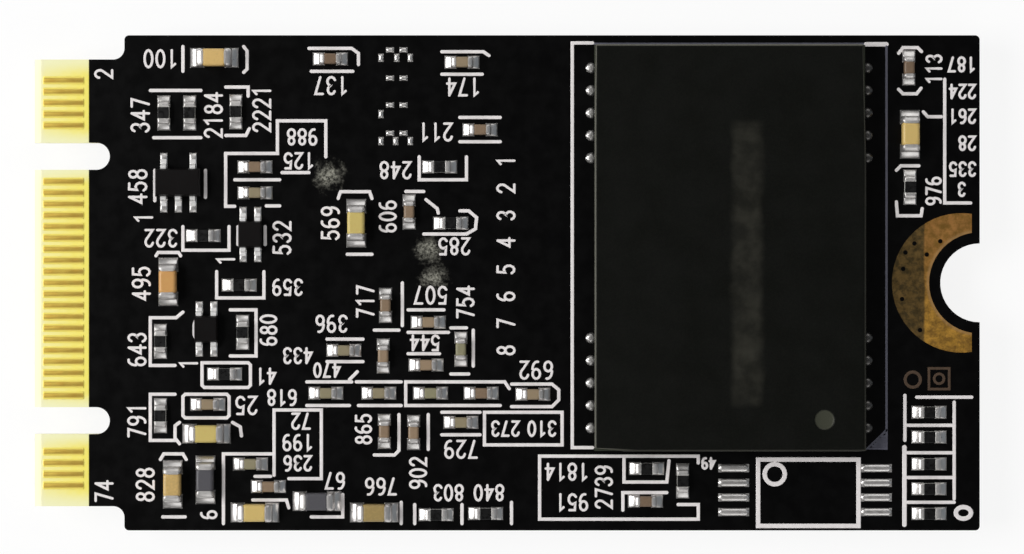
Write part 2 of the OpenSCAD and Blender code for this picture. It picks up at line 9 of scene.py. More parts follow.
import bpy
import numpy as np
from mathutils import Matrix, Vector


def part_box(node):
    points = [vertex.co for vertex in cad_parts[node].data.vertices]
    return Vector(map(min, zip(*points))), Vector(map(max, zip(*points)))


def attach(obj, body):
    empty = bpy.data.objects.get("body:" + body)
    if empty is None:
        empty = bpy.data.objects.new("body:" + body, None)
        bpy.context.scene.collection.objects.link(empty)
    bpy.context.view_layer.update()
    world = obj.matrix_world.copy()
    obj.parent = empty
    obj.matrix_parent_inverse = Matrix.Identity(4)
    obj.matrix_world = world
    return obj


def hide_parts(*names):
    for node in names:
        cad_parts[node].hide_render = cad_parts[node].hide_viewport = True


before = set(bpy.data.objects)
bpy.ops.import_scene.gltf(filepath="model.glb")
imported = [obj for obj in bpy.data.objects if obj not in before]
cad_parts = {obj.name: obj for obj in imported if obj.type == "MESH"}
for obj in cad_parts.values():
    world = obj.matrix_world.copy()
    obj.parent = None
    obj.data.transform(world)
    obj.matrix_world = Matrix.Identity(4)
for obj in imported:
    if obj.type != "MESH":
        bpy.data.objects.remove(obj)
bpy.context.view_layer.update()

MM = 0.001
contact_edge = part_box("circuit_board")[0].x
upper_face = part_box("front_solder_mask")[1].z
lower_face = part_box("back_solder_mask")[0].z


# Camera and lamps
# The card is seen from straight above. A wide lamp at the contact edge lights it, softer ones stand round it,
# and nothing hangs over it, so that flat faces stay deep and only sloping metal flashes.
camera_data = bpy.data.cameras.new("camera")
camera = bpy.data.objects.new("camera", camera_data)
bpy.context.scene.collection.objects.link(camera)
bpy.context.scene.camera = camera
bpy.context.scene.view_settings.view_transform = "Standard"

view_distance = 200 * MM
view_width = 45.5 * MM
view_centre = (21.22 * MM, 0.26 * MM)
camera.location = (contact_edge + view_centre[0], view_centre[1], upper_face + view_distance)
camera_data.lens = camera_data.sensor_width * view_distance / view_width
camera_data.clip_start = 5 * MM


def lamp(name, azimuth, elevation, share, side, colour=(1, 1, 1), distance=0.3):
    """A square lamp aimed at the card, azimuth degrees anticlockwise from the screw end. A level white face
    gets the given share of full light from it: power = share * pi^2 * distance^2 / sin(elevation)."""
    turn, tilt = math.radians(azimuth), math.radians(abs(elevation))
    data = bpy.data.lights.new(name, "AREA")
    data.size = side
    data.color = colour
    data.energy = share * (math.pi * distance) ** 2 / math.sin(tilt)
    obj = bpy.data.objects.new(name, data)
    bpy.context.scene.collection.objects.link(obj)
    level = distance * math.cos(tilt)
    height = math.copysign(distance * math.sin(tilt), elevation)
    obj.location = (level * math.cos(turn), level * math.sin(turn), height)
    obj.rotation_euler = (math.radians(90 - elevation), 0, turn + math.pi / 2)


lamp("contact_side_lamp", 175, 42, 0.6, 0.2)
lamp("top_side_lamp", 75, 38, 0.12, 0.22)
lamp("bottom_side_lamp", 285, 38, 0.12, 0.22)
lamp("screw_side_lamp", 5, 35, 0.02, 0.3, (0.6, 0.8, 1))
lamp("lower_face_lamp", 200, -50, 0.25, 0.2)
lamp("lower_face_fill", 40, -50, 0.08, 0.2)

world = bpy.data.worlds.new("world")
bpy.context.scene.world = world
world.use_nodes = True
background = world.node_tree.nodes["Background"].inputs
background["Color"].default_value = (1, 1, 1, 1)
background["Strength"].default_value = 0.1


# Table
# A white sheet of paper that keeps the card's shadow. Camera rays see it whiter than the lamps make it, and
# from underneath it is clear, so that the card's lower face shows.
class Shade:
    """A number or colour that varies over a surface. Operators and comparisons on it add Math nodes."""

    def __init__(self, finish, socket):
        self.finish = finish
        self.socket = socket

    def math(self, operation, first, second=0.0):
        return self.finish.node("Math", {"operation": operation}, {0: first, 1: second})

    def __add__(self, other):
        return self.math("ADD", self, other)

    def __sub__(self, other):
        return self.math("SUBTRACT", self, other)

    def __rsub__(self, other):
        return self.math("SUBTRACT", other, self)

    def __mul__(self, other):
        return self.math("MULTIPLY", self, other)

    def __abs__(self):
        return self.math("ABSOLUTE", self)

    def sine(self):
        return self.math("SINE", self)

    def above(self, other):
        return self.math("GREATER_THAN", self, other)

    def larger(self, other):
        return self.math("MAXIMUM", self, other)

    __radd__ = __add__
    __rmul__ = __mul__


class Finish:
    """One material. node() adds a node by its type, settings and sockets, and surface() sets sockets of the
    shader."""

    def __init__(self, name):
        self.material = bpy.data.materials.new(name)
        self.material.use_nodes = True
        self.tree = self.material.node_tree
        self.shader = self.tree.nodes["Principled BSDF"]

    def fill(self, node, sockets):
        for name, value in sockets.items():
            if isinstance(value, Shade):
                self.tree.links.new(value.socket, node.inputs[name])
            else:
                node.inputs[name].default_value = value

    def node(self, kind, settings={}, sockets={}, output=0):
        node = self.tree.nodes.new("ShaderNode" + kind)
        for name, value in settings.items():
            if name != "stops":
                setattr(node, name, value)
                continue
            ramp = node.color_ramp.elements
            while len(ramp) < len(value):
                ramp.new(1.0)
            for stop, (place, colour) in zip(ramp, value):
                stop.position = place
                stop.color = colour
        self.fill(node, sockets)
        return Shade(self, node.outputs[output])

    def surface(self, **sockets):
        self.fill(self.shader, {name.replace("_", " "): value for name, value in sockets.items()})
        return self

    def place(self):
        return self.node("TexCoord", output="Object")

    def along(self, axis):
        return self.node("SeparateXYZ", {}, {"Vector": self.place()}, axis)

    def distance(self, x, y, z):
        """Distance from one point of the card."""
        return self.node("VectorMath", {"operation": "DISTANCE"}, {0: self.place(), 1: (x, y, z)}, "Value")

    def tint(self):
        """The number that the piece carries at each of its points."""
        return self.node("Attribute", {"attribute_name": "tint"}, output="Fac")

    def noise(self, size, detail=3.0, roughness=0.5):
        """Cloudy noise from 0 to 1 whose lumps are about size across."""
        sockets = {"Vector": self.place(), "Scale": 1 / size, "Detail": detail, "Roughness": roughness}
        return self.node("TexNoise", {}, sockets)

    def spread(self, value, low, high, to_low=0.0, to_high=1.0):
        """value moved from the range low to high into to_low to to_high, softly at both ends."""
        settings = {"interpolation_type": "SMOOTHSTEP"}
        return self.node("MapRange", settings, {0: value, 1: low, 2: high, 3: to_low, 4: to_high})

    def mix(self, factor, first, second):
        return self.node("Mix", {"data_type": "RGBA"}, {0: factor, 6: first, 7: second}, 2)

    def bump(self, height, distance, strength):
        return self.node("Bump", {}, {"Height": height, "Distance": distance, "Strength": strength})

    def cloudy(self, size, first, second, detail=3.0):
        """Two colours mixed in patches about size across."""
        return self.mix(self.noise(size, detail), first, second)

    def uneven(self, size, low, high, detail=3.0, reach=0.3):
        """A number that wanders from low to high in patches about size across, as the noise goes from reach
        below its middle to reach above it."""
        return self.spread(self.noise(size, detail), 0.5 - reach, 0.5 + reach, low, high)

    def grain(self, size, depth, strength, detail=3.0, roughness=0.5):
        """The normal of a surface with bumps about size across and depth high."""
        return self.bump(self.noise(size, detail, roughness), depth, strength)

    def on(self, *nodes):
        """Gives the finish to CAD nodes."""
        for name in nodes:
            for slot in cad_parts[name].material_slots:
                slot.material = self.material


def tone(red, green, blue):
    """A screen colour, 0 to 255, as the light value that a shader takes: each channel to the power 2.2."""
    return tuple((channel / 255) ** 2.2 for channel in (red, green, blue)) + (1.0,)


table_side = 1.2
table_glow = 0.88
table_mesh = bpy.data.meshes.new("table")
table_corners = table_side / 2 * np.array([(-1, -1, 0), (1, -1, 0), (1, 1, 0), (-1, 1, 0)])
table_mesh.from_pydata(table_corners.tolist(), [], [(0, 1, 2, 3)])
table = bpy.data.objects.new("table", table_mesh)
bpy.context.scene.collection.objects.link(table)

paper = Finish("paper").surface(Base_Color=(1, 1, 1, 1), Roughness=0.9, Specular_IOR_Level=0.1)
seen = paper.node("LightPath", output="Is Camera Ray")
for ray in ("Is Glossy Ray", "Is Transmission Ray"):
    seen = seen.larger(paper.node("LightPath", output=ray))
glow = paper.node("Emission", {}, {"Color": (1, 1, 1, 1), "Strength": 1.0})
clear = paper.node("BsdfTransparent")
lit = Shade(paper, paper.shader.outputs[0])
paper_lit = paper.node("MixShader", {}, {0: seen * table_glow, 1: lit, 2: glow})
backs = paper.node("NewGeometry", output="Backfacing")
from_below = backs.larger(paper.node("LightPath", output="Is Shadow Ray"))
paper_seen = paper.node("MixShader", {}, {0: from_below, 1: paper_lit, 2: clear})
paper.fill(paper.tree.nodes["Material Output"], {"Surface": paper_seen})
table_mesh.materials.append(paper.material)


# Circuit board
# Woven glass in epoxy, routed to shape. It shows where the solder mask stops: round the contacts, on the
# ground edge of the tongue and on all cut edges.
laminate = Finish("laminate")
weave_pitch = 0.45 * MM
key_middles = (5.625 * MM, -6.125 * MM)
along_card = laminate.along("X")
across_card = laminate.along("Y")
warp = (along_card * (2 * math.pi / weave_pitch)).sine()
weft = (across_card * (2 * math.pi / weave_pitch)).sine()
weave = warp * weft
threads = laminate.spread(weave + laminate.noise(0.15 * MM), -1.0, 2.0, 0.0, 0.15)

# The resin is painted palest at the tongue's sides, round the key notches and on the bevel: painted
# light that spills round the card's edges there. Next to the solder mask it is darker.
painted_edge_glow = laminate.spread(abs(across_card), 9.1 * MM, 9.9 * MM)
for key_middle in key_middles:
    painted_edge_glow = painted_edge_glow.larger(laminate.spread(abs(across_card - key_middle), 0.6 * MM, 1.3 * MM, 1.0, 0.0))
inward = laminate.spread(along_card, contact_edge + 0.3 * MM, contact_edge + 2.3 * MM)
painted_bevel_glow = laminate.spread(along_card, contact_edge + 0.1 * MM, contact_edge + 0.55 * MM, 0.9, 0.0)
behind = laminate.spread(along_card, contact_edge + 2.5 * MM, contact_edge + 2.7 * MM)
resin = laminate.mix(inward, tone(255, 246, 162), tone(255, 240, 108))
resin = laminate.mix(threads, resin, tone(255, 250, 190))
resin = laminate.mix(painted_edge_glow * 0.75, resin, tone(253, 254, 212))
resin = laminate.mix(painted_bevel_glow, resin, tone(250, 247, 214))
resin = laminate.mix(behind, resin, tone(180, 167, 118))
laminate.surface(Base_Color=resin, Roughness=0.5, Specular_IOR_Level=0.25)
laminate.surface(Normal=laminate.bump(weave, 0.003 * MM, 0.3))
laminate.on("circuit_board")


# Solder mask
# Black epoxy ink over the copper of both faces, cured with a faint orange peel. Flux from hand soldering
# left grey smudges on it in two places.
def smudge(finish, x, y, reach):
    """1 at a spot on the card, fading to 0 at reach, with a ragged edge."""
    distance = finish.distance(contact_edge + x * MM, y * MM, upper_face)
    ragged = distance + finish.noise(0.45 * MM, 6.0, 0.7) * (2.4 * reach)
    return finish.spread(ragged, 1.1 * reach, 2.2 * reach, 1.0, 0.0)


mask = Finish("solder_mask")
flux = smudge(mask, 13.05, 4.8, 0.8 * MM)
for spot in ((17.5, 1.5), (17.75, 0.2)):
    flux = flux.larger(smudge(mask, *spot, 0.7 * MM))
flux = flux * mask.spread(mask.noise(0.12 * MM, 5.0, 0.8), 0.36, 0.64)
mask_colour = mask.cloudy(2.5 * MM, tone(4, 4, 6), tone(9, 8, 8))
mask.surface(
    Base_Color=mask.mix(flux * 0.8, mask_colour, tone(180, 178, 164)),
    Roughness=mask.uneven(0.6 * MM, 0.3, 0.4) + flux * 0.2,
    Specular_IOR_Level=0.15,
    Normal=mask.grain(0.12 * MM, 0.003 * MM, 0.6, 2.0),
)
mask.on("front_solder_mask", "back_solder_mask")


# Edge contacts and ground pads
# Copper plated with nickel and gold. Etching leaves every contact a little crowned, so its flanks catch the
# light, and they are also painted paler and less metallic than the back, a painted highlight, so the back
# looks darker. The pad round the screw notch is tied down by small plated holes.
faces = {"front": (upper_face, 1), "back": (lower_face, -1)}
weld = 0.0005 * MM


def corners_of(node):
    """The corners of a CAD node's triangles, as an array (corners, 3)."""
    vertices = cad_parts[node].data.vertices
    corners = np.empty(len(vertices) * 3, np.float32)
    vertices.foreach_get("co", corners)
    return corners.reshape(-1, 3)


def solids(node):
    """Lowest and highest corners of each separate solid of a CAD node, as an array (solids, 2, 3). Corners at
    one place count as one point, and each point takes the smallest number among its triangles' points until
    nothing changes, so that a solid's points share a number."""
    corners = corners_of(node)
    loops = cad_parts[node].data.loops
    triangles = np.empty(len(loops), np.int32)
    loops.foreach_get("vertex_index", triangles)
    points, point_of = np.unique(np.round(corners / weld).astype(np.int64), axis=0, return_inverse=True)
    triangles = point_of.ravel()[triangles].reshape(-1, 3)
    label = np.arange(len(points))
    while True:
        lower = label.copy()
        np.minimum.at(lower, triangles.ravel(), np.repeat(label[triangles].min(1), 3))
        lower = lower[lower]
        if (lower == label).all():
            break
        label = lower
    names, group = np.unique(label[point_of.ravel()], return_inverse=True)
    boxes = np.empty((len(names), 2, 3))
    boxes[:, 0] = np.inf
    boxes[:, 1] = -np.inf
    np.minimum.at(boxes[:, 0], group.ravel(), corners)
    np.maximum.at(boxes[:, 1], group.ravel(), corners)
    return boxes


def outline(boxes, inset, corner, steps=4):
    """Rounded rectangles inside boxes, drawn in by inset, anticlockwise from above: round each corner runs a
    quarter circle of radius corner in the given number of steps. Returns an array (boxes, points, 2)."""
    angle = (np.arange(4)[:, None] * math.pi / 2 + np.linspace(0, math.pi / 2, steps)).reshape(-1)
    sign = np.repeat(np.array([(1, 1), (-1, 1), (-1, -1), (1, -1)]), steps, axis=0)
    half = (boxes[:, 1, :2] - boxes[:, 0, :2]) / 2 - np.reshape(inset, (-1, 1))
    round_r = np.minimum(np.reshape(corner, (-1, 1)), half.min(1, keepdims=True))[:, None]
    middle = boxes[:, :, :2].mean(1)[:, None]
    return middle + sign * (half[:, None] - round_r) + round_r * np.stack([np.cos(angle), np.sin(angle)], 1)


def ring(points, height):
    """Adds a height, one for all, one a box or one a point, to outlines (boxes, points, 2)."""
    height = np.asarray(height, float)
    height = height.reshape(height.shape + (1,) * (2 - height.ndim)) if height.ndim else height
    return np.concatenate([points, np.broadcast_to(height, points.shape[:2])[..., None]], -1)


def card_piece(name, mesh, finish):
    """An object with one finish that is part of the card."""
    mesh.materials.append(finish.material)
    piece = bpy.data.objects.new(name, mesh)
    bpy.context.scene.collection.objects.link(piece)
    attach(piece, "root")
    return piece


def skin(name, rings, finish, replaced=(), wrap=False, smooth=50):
    """A piece made of closed skins. rings is an array (solids, rings, points, 3): neighbouring rings are
    joined by four-sided faces, and the end rings are closed flat, or joined to each other where wrap is set.
    Edges bent by more than smooth degrees stay sharp."""
    count, height, around = rings.shape[:3]
    number = np.arange(count * height * around).reshape(count, height, around)
    upper = np.roll(number, -1, 1) if wrap else number[:, 1:]
    lower = number if wrap else number[:, :-1]
    quads = np.stack([lower, np.roll(lower, -1, 2), np.roll(upper, -1, 2), upper], -1).reshape(-1, 4)
    ends = np.empty((0, around), int) if wrap else np.concatenate([number[:, 0, ::-1], number[:, -1]])
    corners = np.concatenate([quads.ravel(), ends.ravel()])
    starts = np.concatenate([np.arange(len(quads)) * 4, len(quads) * 4 + np.arange(len(ends)) * around])
    mesh = bpy.data.meshes.new(name)
    mesh.vertices.add(number.size)
    mesh.vertices.foreach_set("co", rings.reshape(-1).astype(np.float32))
    mesh.loops.add(len(corners))
    mesh.loops.foreach_set("vertex_index", corners.astype(np.int32))
    mesh.polygons.add(len(starts))
    mesh.polygons.foreach_set("loop_start", starts.astype(np.int32))
    mesh.update(calc_edges=True)
    mesh.shade_smooth()
    mesh.set_sharp_from_angle(angle=math.radians(smooth))
    piece = card_piece(name, mesh, finish)
    if replaced:
        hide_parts(*replaced)
    return piece


def levels(boxes, up):
    """Heights of the boxes' feet and tops, on the face of the card whose outside is up (1) or down (-1)."""
    return (boxes[:, 0, 2], boxes[:, 1, 2])[::up]


def stacked(rings, up):
    """Rings from the foot to the top as one array (solids, rings, points, 3), turned round where up is -1."""
    return np.stack(rings, 1)[:, :, ::up]


def on_card(points):
    """Places in the frame, in metres, of points (x, y) on the card in mm."""
    return np.reshape(points, (-1, 2)) * MM + (contact_edge, 0)


def tint(piece, values, rings):
    """Writes the piece's point attribute 'tint' for its finish to read, from values that fit its rings array
    (solids, rings, points)."""
    attribute = piece.data.attributes.new("tint", "FLOAT", "POINT")
    values = np.broadcast_to(values, rings.shape[:3])
    attribute.data.foreach_set("value", values.astype(np.float32).ravel())


gold = Finish("gold_plate")
crown_vs_painted_flank_highlight = gold.tint()
worn = gold.spread(gold.noise(0.5 * MM, 4.0), 0.3, 0.75)
# The flanks' lower half is painted a paler, less metallic gold than the crown: a painted highlight.
gold.surface(
    Base_Color=gold.mix(crown_vs_painted_flank_highlight, tone(255, 236, 112), gold.mix(worn, tone(240, 206, 96), tone(226, 182, 80))),
    Metallic=gold.spread(crown_vs_painted_flank_highlight, 0.0, 1.0, 0.1, 0.7),
    Roughness=gold.uneven(0.25 * MM, 0.3, 0.42),
    Normal=gold.grain(0.05 * MM, 0.002 * MM, 0.4, 2.0),
)

# A contact's flanks rise to its crown over a quarter of a sine wave. Its tint is 0 on their lower half and 1
# on the crown.
crown_h = 0.02 * MM
flank = np.array([0.02, 0.1, 0]) * MM
for side, (_, up) in faces.items():
    name = side + "_contacts"
    strips = solids(name)
    foot, top = levels(strips, up)
    rings = [ring(outline(strips, 0, 0.02 * MM), foot)]
    core = [0.0]
    for part in (0, 0.3, 0.6, 0.85, 1):
        rise = crown_h * (math.sin(math.pi / 2 * part) - 1)
        drawn = strips + np.array([[1], [-1]]) * flank * part
        rings.append(ring(outline(drawn, 0, 0.05 * MM), top + up * rise))
        core.append(max(0.0, (part - 0.5) * 2))
    rings = stacked(rings, up)
    tint(skin(name + "_plated", rings, gold, [name]), np.array(core)[:, None], rings)

# The pad is bright beside the screw end and darker further in, with a paler rim round the notch
pad_gold = Finish("pad_gold")
pad_split = contact_edge + 39.55 * MM
pad_place = pad_gold.along("X") + (pad_gold.noise(0.6 * MM, 4.0) - 0.5) * (0.2 * MM)
pad_screw_end_side = pad_gold.spread(pad_place, pad_split - 0.05 * MM, pad_split + 0.05 * MM)
pad_worn = pad_gold.spread(pad_gold.noise(0.4 * MM, 5.0, 0.7), 0.35, 0.65)
pad_darker_part = pad_gold.mix(pad_worn, tone(128, 102, 60), tone(78, 66, 42))
pad_across = pad_gold.spread(pad_gold.along("Y"), -2 * MM, 2 * MM)
pad_tan = pad_gold.mix(pad_across, tone(222, 166, 72), tone(196, 140, 78))
pad_bright = pad_gold.mix(pad_worn, pad_tan, tone(150, 112, 54))
pad_colour = pad_gold.mix(pad_screw_end_side, pad_darker_part, pad_bright)
notch_distance = pad_gold.distance(contact_edge + 42 * MM, 0, upper_face)
pad_rim = pad_gold.spread(notch_distance, 2.3 * MM, 2.42 * MM, 0.7, 0.0)
pad_gold.surface(
    Base_Color=pad_gold.mix(pad_rim, pad_colour, tone(206, 160, 104)),
    Metallic=0.75,
    Roughness=pad_gold.uneven(0.3 * MM, 0.35, 0.5, 4.0),
    Normal=pad_gold.grain(0.08 * MM, 0.004 * MM, 0.5),
)
pad_gold.on("front_ground_pad", "back_ground_pad")

# Plugged holes of the ground pad: x and y on the card, hole after hole
plug_places = (39.1, 1.75, 40.25, 1.85, 39.65, 1.26, 38.6, 0.62, 38.55, -0.72, 39.35, -2.1, 38.7, 1.35)
plug_r = 0.1 * MM
plug_h = 0.006 * MM
for side, (level, up) in faces.items():
    middles = on_card(plug_places)
    plugs = np.zeros((len(middles), 2, 3))
    plugs[:, 0, :2] = middles - plug_r
    plugs[:, 1, :2] = middles + plug_r
    rings = [ring(outline(plugs, 0, plug_r, 5), level)]
    for part in (0, 0.3, 0.7):
        rise = plug_h * (0.4 + 0.6 * math.sin(math.pi / 2 * part))
        rings.append(ring(outline(plugs, plug_r * part, plug_r, 5), level + up * rise))
    skin(side + "_pad_plugs", stacked(rings, up), mask)


# Solder
# Tin melted onto the bare lands. Under a part it climbs the end caps in a full curve, and on the lands of
# parts that were never fitted it stands up by itself in a low dome. One row, beside the flash memory on the
# screw side, is painted dark grey: painted shade from the package.
solder = Finish("solder")
solder_colour = solder.cloudy(0.3 * MM, tone(236, 233, 230), tone(212, 209, 206), 4.0)
# The row in the flash package's shade is painted darker: painted shade.
from_row = abs(solder.along("X") - (contact_edge + 37.1 * MM))
painted_shade_row = solder.spread(from_row, 0.4 * MM, 0.45 * MM, 1.0, 0.0)
painted_shade_row = painted_shade_row * solder.spread(solder.along("Y"), -7.4 * MM, -7.3 * MM)
solder.surface(
    Base_Color=solder.mix(painted_shade_row, solder_colour, tone(104, 102, 100)),
    Metallic=0.9,
    Roughness=solder.uneven(0.2 * MM, 0.26, 0.4),
    Normal=solder.grain(0.1 * MM, 0.004 * MM, 0.35, 2.0),
)
solder.on("front_lands", "back_lands", "front_flash_balls", "back_flash_balls", "controller_balls")

land_corner = 0.06 * MM
lip_h = 0.015 * MM
lands = {side: solids(side + "_lands") for side in faces}
bare = {side: np.ones(len(lands[side]), bool) for side in faces}


def fillets(side, ends, middles, height):
    """Solder round end caps or feet, on the lands that they stand on. ends is (parts, 2, 3) and middles
    (parts, 2) the middle of each one's part. The skin runs from the land's edge up a full curve to the cap's
    wall, falls down the wall, and closes along the land: distance from the wall goes as 1 - t and height as
    1 - (1 - t)^1.7. The solder climbs highest on the side that looks away from the part's middle."""
    level, up = faces[side]
    centre = ends[:, :, :2].mean(1)
    inside = (lands[side][None, :, 0, :2] < centre[:, None]) & (centre[:, None] < lands[side][None, :, 1, :2])
    found = inside.all(2)
    ends, middles, centre, found = (part[found.any(1)] for part in (ends, middles, centre, found))
    land = lands[side][found.argmax(1)]
    bare[side][found.argmax(1)] = False
    wall = outline(ends, 0.0, 0.04 * MM, 3)
    edge = outline(land, 0.0, land_corner, 3)
    away = (centre - middles) / np.linalg.norm(centre - middles, axis=1, keepdims=True)
    facing = wall - centre[:, None]
    facing = facing / np.linalg.norm(facing, axis=2, keepdims=True)
    facing = np.clip((facing * away[:, None]).sum(2), 0, 1)
    tall = height * (0.35 + 0.65 * facing**0.7)
    rings = [ring(edge, level)]
    for t in (0, 0.25, 0.6, 1):
        rise = lip_h + (tall - lip_h) * (1 - (1 - t) ** 1.7)
        rings.append(ring(edge + (wall - edge) * t, level + up * rise))
    rings.append(ring(wall, level))
    return stacked(rings, up)


def domes(side, height, steps=5):
    """Solder on the bare lands: the land's outline drawn in step by step, at heights of a quarter circle."""
    level, up = faces[side]
    land = lands[side][bare[side]]
    half = (land[:, 1, :2] - land[:, 0, :2]).min(1) / 2
    rings = [ring(outline(land, 0.0, half), level)]
    for t in np.linspace(0, 0.98, steps):
        rise = np.minimum(height, 0.7 * half) * math.sqrt(1 - (1 - t) ** 2)
        rings.append(ring(outline(land, half * t, half), level + up * (0.01 * MM + rise)))
    return stacked(rings, up)


# Capacitors, resistors and beads
# Fired ceramic blocks with tinned ends. Capacitors are tan to brown, the large ones brighter. A resistor is a
# white slab with black glass on its back, and a ferrite bead is grey. All are tumbled, so no edge is sharp.
def block(boxes, rounding, up, steps=4):
    """Blocks with straight walls and a rounded outer rim: the outline is drawn in by r (1 - sin a) at height
    r (1 - cos a) under the top, for a from 90 to 0 degrees, and once more so that the top stays flat."""
    foot, top = levels(boxes, up)
    rings = [ring(outline(boxes, 0.0, rounding, steps), foot)]
    for angle in np.linspace(math.pi / 2, 0, steps):
        drop = rounding * (1 - math.cos(angle))
        inset = rounding * (1 - math.sin(angle))
        rings.append(ring(outline(boxes, inset, rounding, steps), top - up * drop))
    rings.append(ring(outline(boxes, rounding * 1.2, rounding, steps), top))
    return stacked(rings, up)


def shortened(boxes, amount):
    """Boxes whose longer level side loses amount at each end, so that they stop inside their end caps."""
    size = boxes[:, 1, :2] - boxes[:, 0, :2]
    taken = np.where(size == size.max(1, keepdims=True), amount, 0.0)
    boxes = boxes.copy()
    boxes[:, 0, :2] += taken
    boxes[:, 1, :2] -= taken
    return boxes


def end_caps(boxes, away, length, drop, rounding, up, steps=5):
    """Caps that fall away outwards. Over an angle a from 90 to 0 degrees, the side that away points to is
    drawn in by length (1 - sin a), the one across from it by tuck (1 - sin a) and the two beside it by
    rounding (1 - sin a), at drop (1 - cos a) under the top. The last ring lies flat inside the top's edge."""
    foot, top = levels(boxes, up)
    tuck = 0.02 * MM
    along = np.abs(away) > 0.5
    rings = [ring(outline(boxes, 0.0, rounding, 3), foot)]
    for angle in np.append(np.linspace(math.pi / 2, 0, steps), -0.15):
        drawn = boxes.copy()
        for end, inwards in ((0, 1), (1, -1)):
            inset = np.where(along, np.where(away * inwards < 0, length, tuck), rounding)
            drawn[:, end, :2] += inwards * inset * (1 - math.sin(angle))
        fall = drop * (1 - math.cos(max(angle, 0)))
        rings.append(ring(outline(drawn, 0.0, rounding, 3), top - up * fall))
    return stacked(rings, up)


def owners(ends, middles):
    """For each end cap or lead, the middle of the part that it belongs to, and the way out from there."""
    centre = ends[:, :, :2].mean(1)
    owner = middles[np.linalg.norm(centre[:, None] - middles, axis=2).argmin(1)]
    away = centre - owner
    return owner, away / np.linalg.norm(away, axis=1, keepdims=True)


def ceramic(name, stops, roughness):
    """A fired ceramic whose colour follows the part's tint, with fine grain and a slightly waxy surface."""
    finish = Finish(name)
    body = finish.tint() + (finish.noise(0.1 * MM, 4.0) - 0.5) * 0.25
    ramp = finish.node("ValToRGB", {"stops": stops}, {0: body})
    finish.surface(Base_Color=ramp, Roughness=roughness, Specular_IOR_Level=0.4)
    return finish.surface(Normal=finish.grain(0.03 * MM, 0.002 * MM, 0.5, 2.0))


ochres = [(0, tone(158, 136, 88)), (0.3, tone(216, 180, 114)), (0.7, tone(204, 184, 110))]
ochres.append((1, tone(206, 154, 94)))
browns = [(0, tone(116, 96, 78)), (0.5, tone(150, 128, 104)), (1, tone(138, 134, 106))]
ochre = ceramic("ochre_ceramic", ochres, 0.35)
brown = ceramic("brown_ceramic", browns, 0.4)
ferrite = ceramic("grey_ferrite", [(0, tone(70, 70, 74)), (1, tone(96, 94, 98))], 0.4)
alumina = ceramic("white_ceramic", [(0, tone(214, 212, 204)), (1, tone(238, 236, 230))], 0.5)

tin = Finish("tin_plate")
tin.surface(
    Base_Color=tin.cloudy(0.25 * MM, tone(230, 227, 224), tone(204, 200, 197), 4.0),
    Metallic=0.85,
    Roughness=tin.uneven(0.12 * MM, 0.34, 0.48),
    Normal=tin.grain(0.08 * MM, 0.004 * MM, 0.35),
)

glass = Finish("black_glaze")
glass.surface(
    Base_Color=glass.cloudy(0.2 * MM, tone(10, 10, 11), tone(20, 19, 19)),
    Roughness=glass.uneven(0.15 * MM, 0.25, 0.4, reach=0.2),
    Normal=glass.grain(0.06 * MM, 0.002 * MM, 0.6, 2.0),
)

# The large capacitors' ceramic, by x and y on the card in mm: brown 0, tan 0.3, yellow 0.7, orange 1
large_tints = {
    (8, 10): 0.3, (5.95, 0.05): 1, (14.3, 2.65): 0.7, (7.65, -6.7): 0.7,
    (6.15, -8.95): 0.2, (9.8, -10.2): 0.5, (15.1, -10.2): 0.0, (38.9, 6.6): 0.45,
}

# How far an end cap falls away outwards, how deep it falls, and how round the edges are
large_size = (0.25 * MM, 0.22 * MM, 0.12 * MM)
small_size = (0.17 * MM, 0.15 * MM, 0.09 * MM)
clip_size = (0.14 * MM, 0.1 * MM, 0.04 * MM)
glaze_r = 0.02 * MM
chance = np.random.default_rng(7)
solder_rings = {side: [] for side in faces}


def block_parts(side, kind, finish, size, climb, tints=None):
    """Ceramic bodies with cup-shaped ends, made from the CAD nodes kind_bodies and kind_ends of one face, and
    the solder that climbs their ends. A body's tint is the one listed nearest to it, or else a random one."""
    length, drop, rounding = size
    up = faces[side][1]
    bodies = solids(kind + "_bodies")
    ends = solids(kind + "_ends")
    rings = block(shortened(bodies, length), rounding, up)
    piece = skin(kind + "_ceramic", rings, finish, [kind + "_bodies"])
    middles = bodies[:, :, :2].mean(1)
    if tints is None:
        tints = chance.uniform(0, 1, len(bodies))
    else:
        nearest = np.linalg.norm(middles[:, None] - on_card(list(tints)), axis=2).argmin(1)
        tints = np.array(list(tints.values()))[nearest]
    tint(piece, tints[:, None, None], rings)
    owner, away = owners(ends, middles)
    rings = end_caps(ends, away, length, drop, rounding, up)
    skin(kind + "_tinned", rings, tin, [kind + "_ends"])
    solder_rings[side].append(fillets(side, ends, owner, climb))


def resistors(side):
    """White slabs, glass coats and bent end clips from the CAD nodes of one face."""
    length, drop, rounding = clip_size
    up = faces[side][1]
    slabs = solids(side + "_resistor_slabs")
    clips = solids(side + "_resistor_ends")
    coats = solids(side + "_resistor_coats")
    rings = block(shortened(slabs, length), glaze_r, up)
    piece = skin(side + "_resistor_ceramic", rings, alumina, [side + "_resistor_slabs"])
    tint(piece, chance.uniform(0, 1, (len(slabs), 1, 1)), rings)
    rings = block(coats, glaze_r, up)
    skin(side + "_resistor_glass", rings, glass, [side + "_resistor_coats"])
    owner, away = owners(clips, slabs[:, :, :2].mean(1))
    rings = end_caps(clips, away, length, drop, rounding, up)
    skin(side + "_resistor_tinned", rings, tin, [side + "_resistor_ends"])
    solder_rings[side].append(fillets(side, clips, owner, 0.17 * MM))


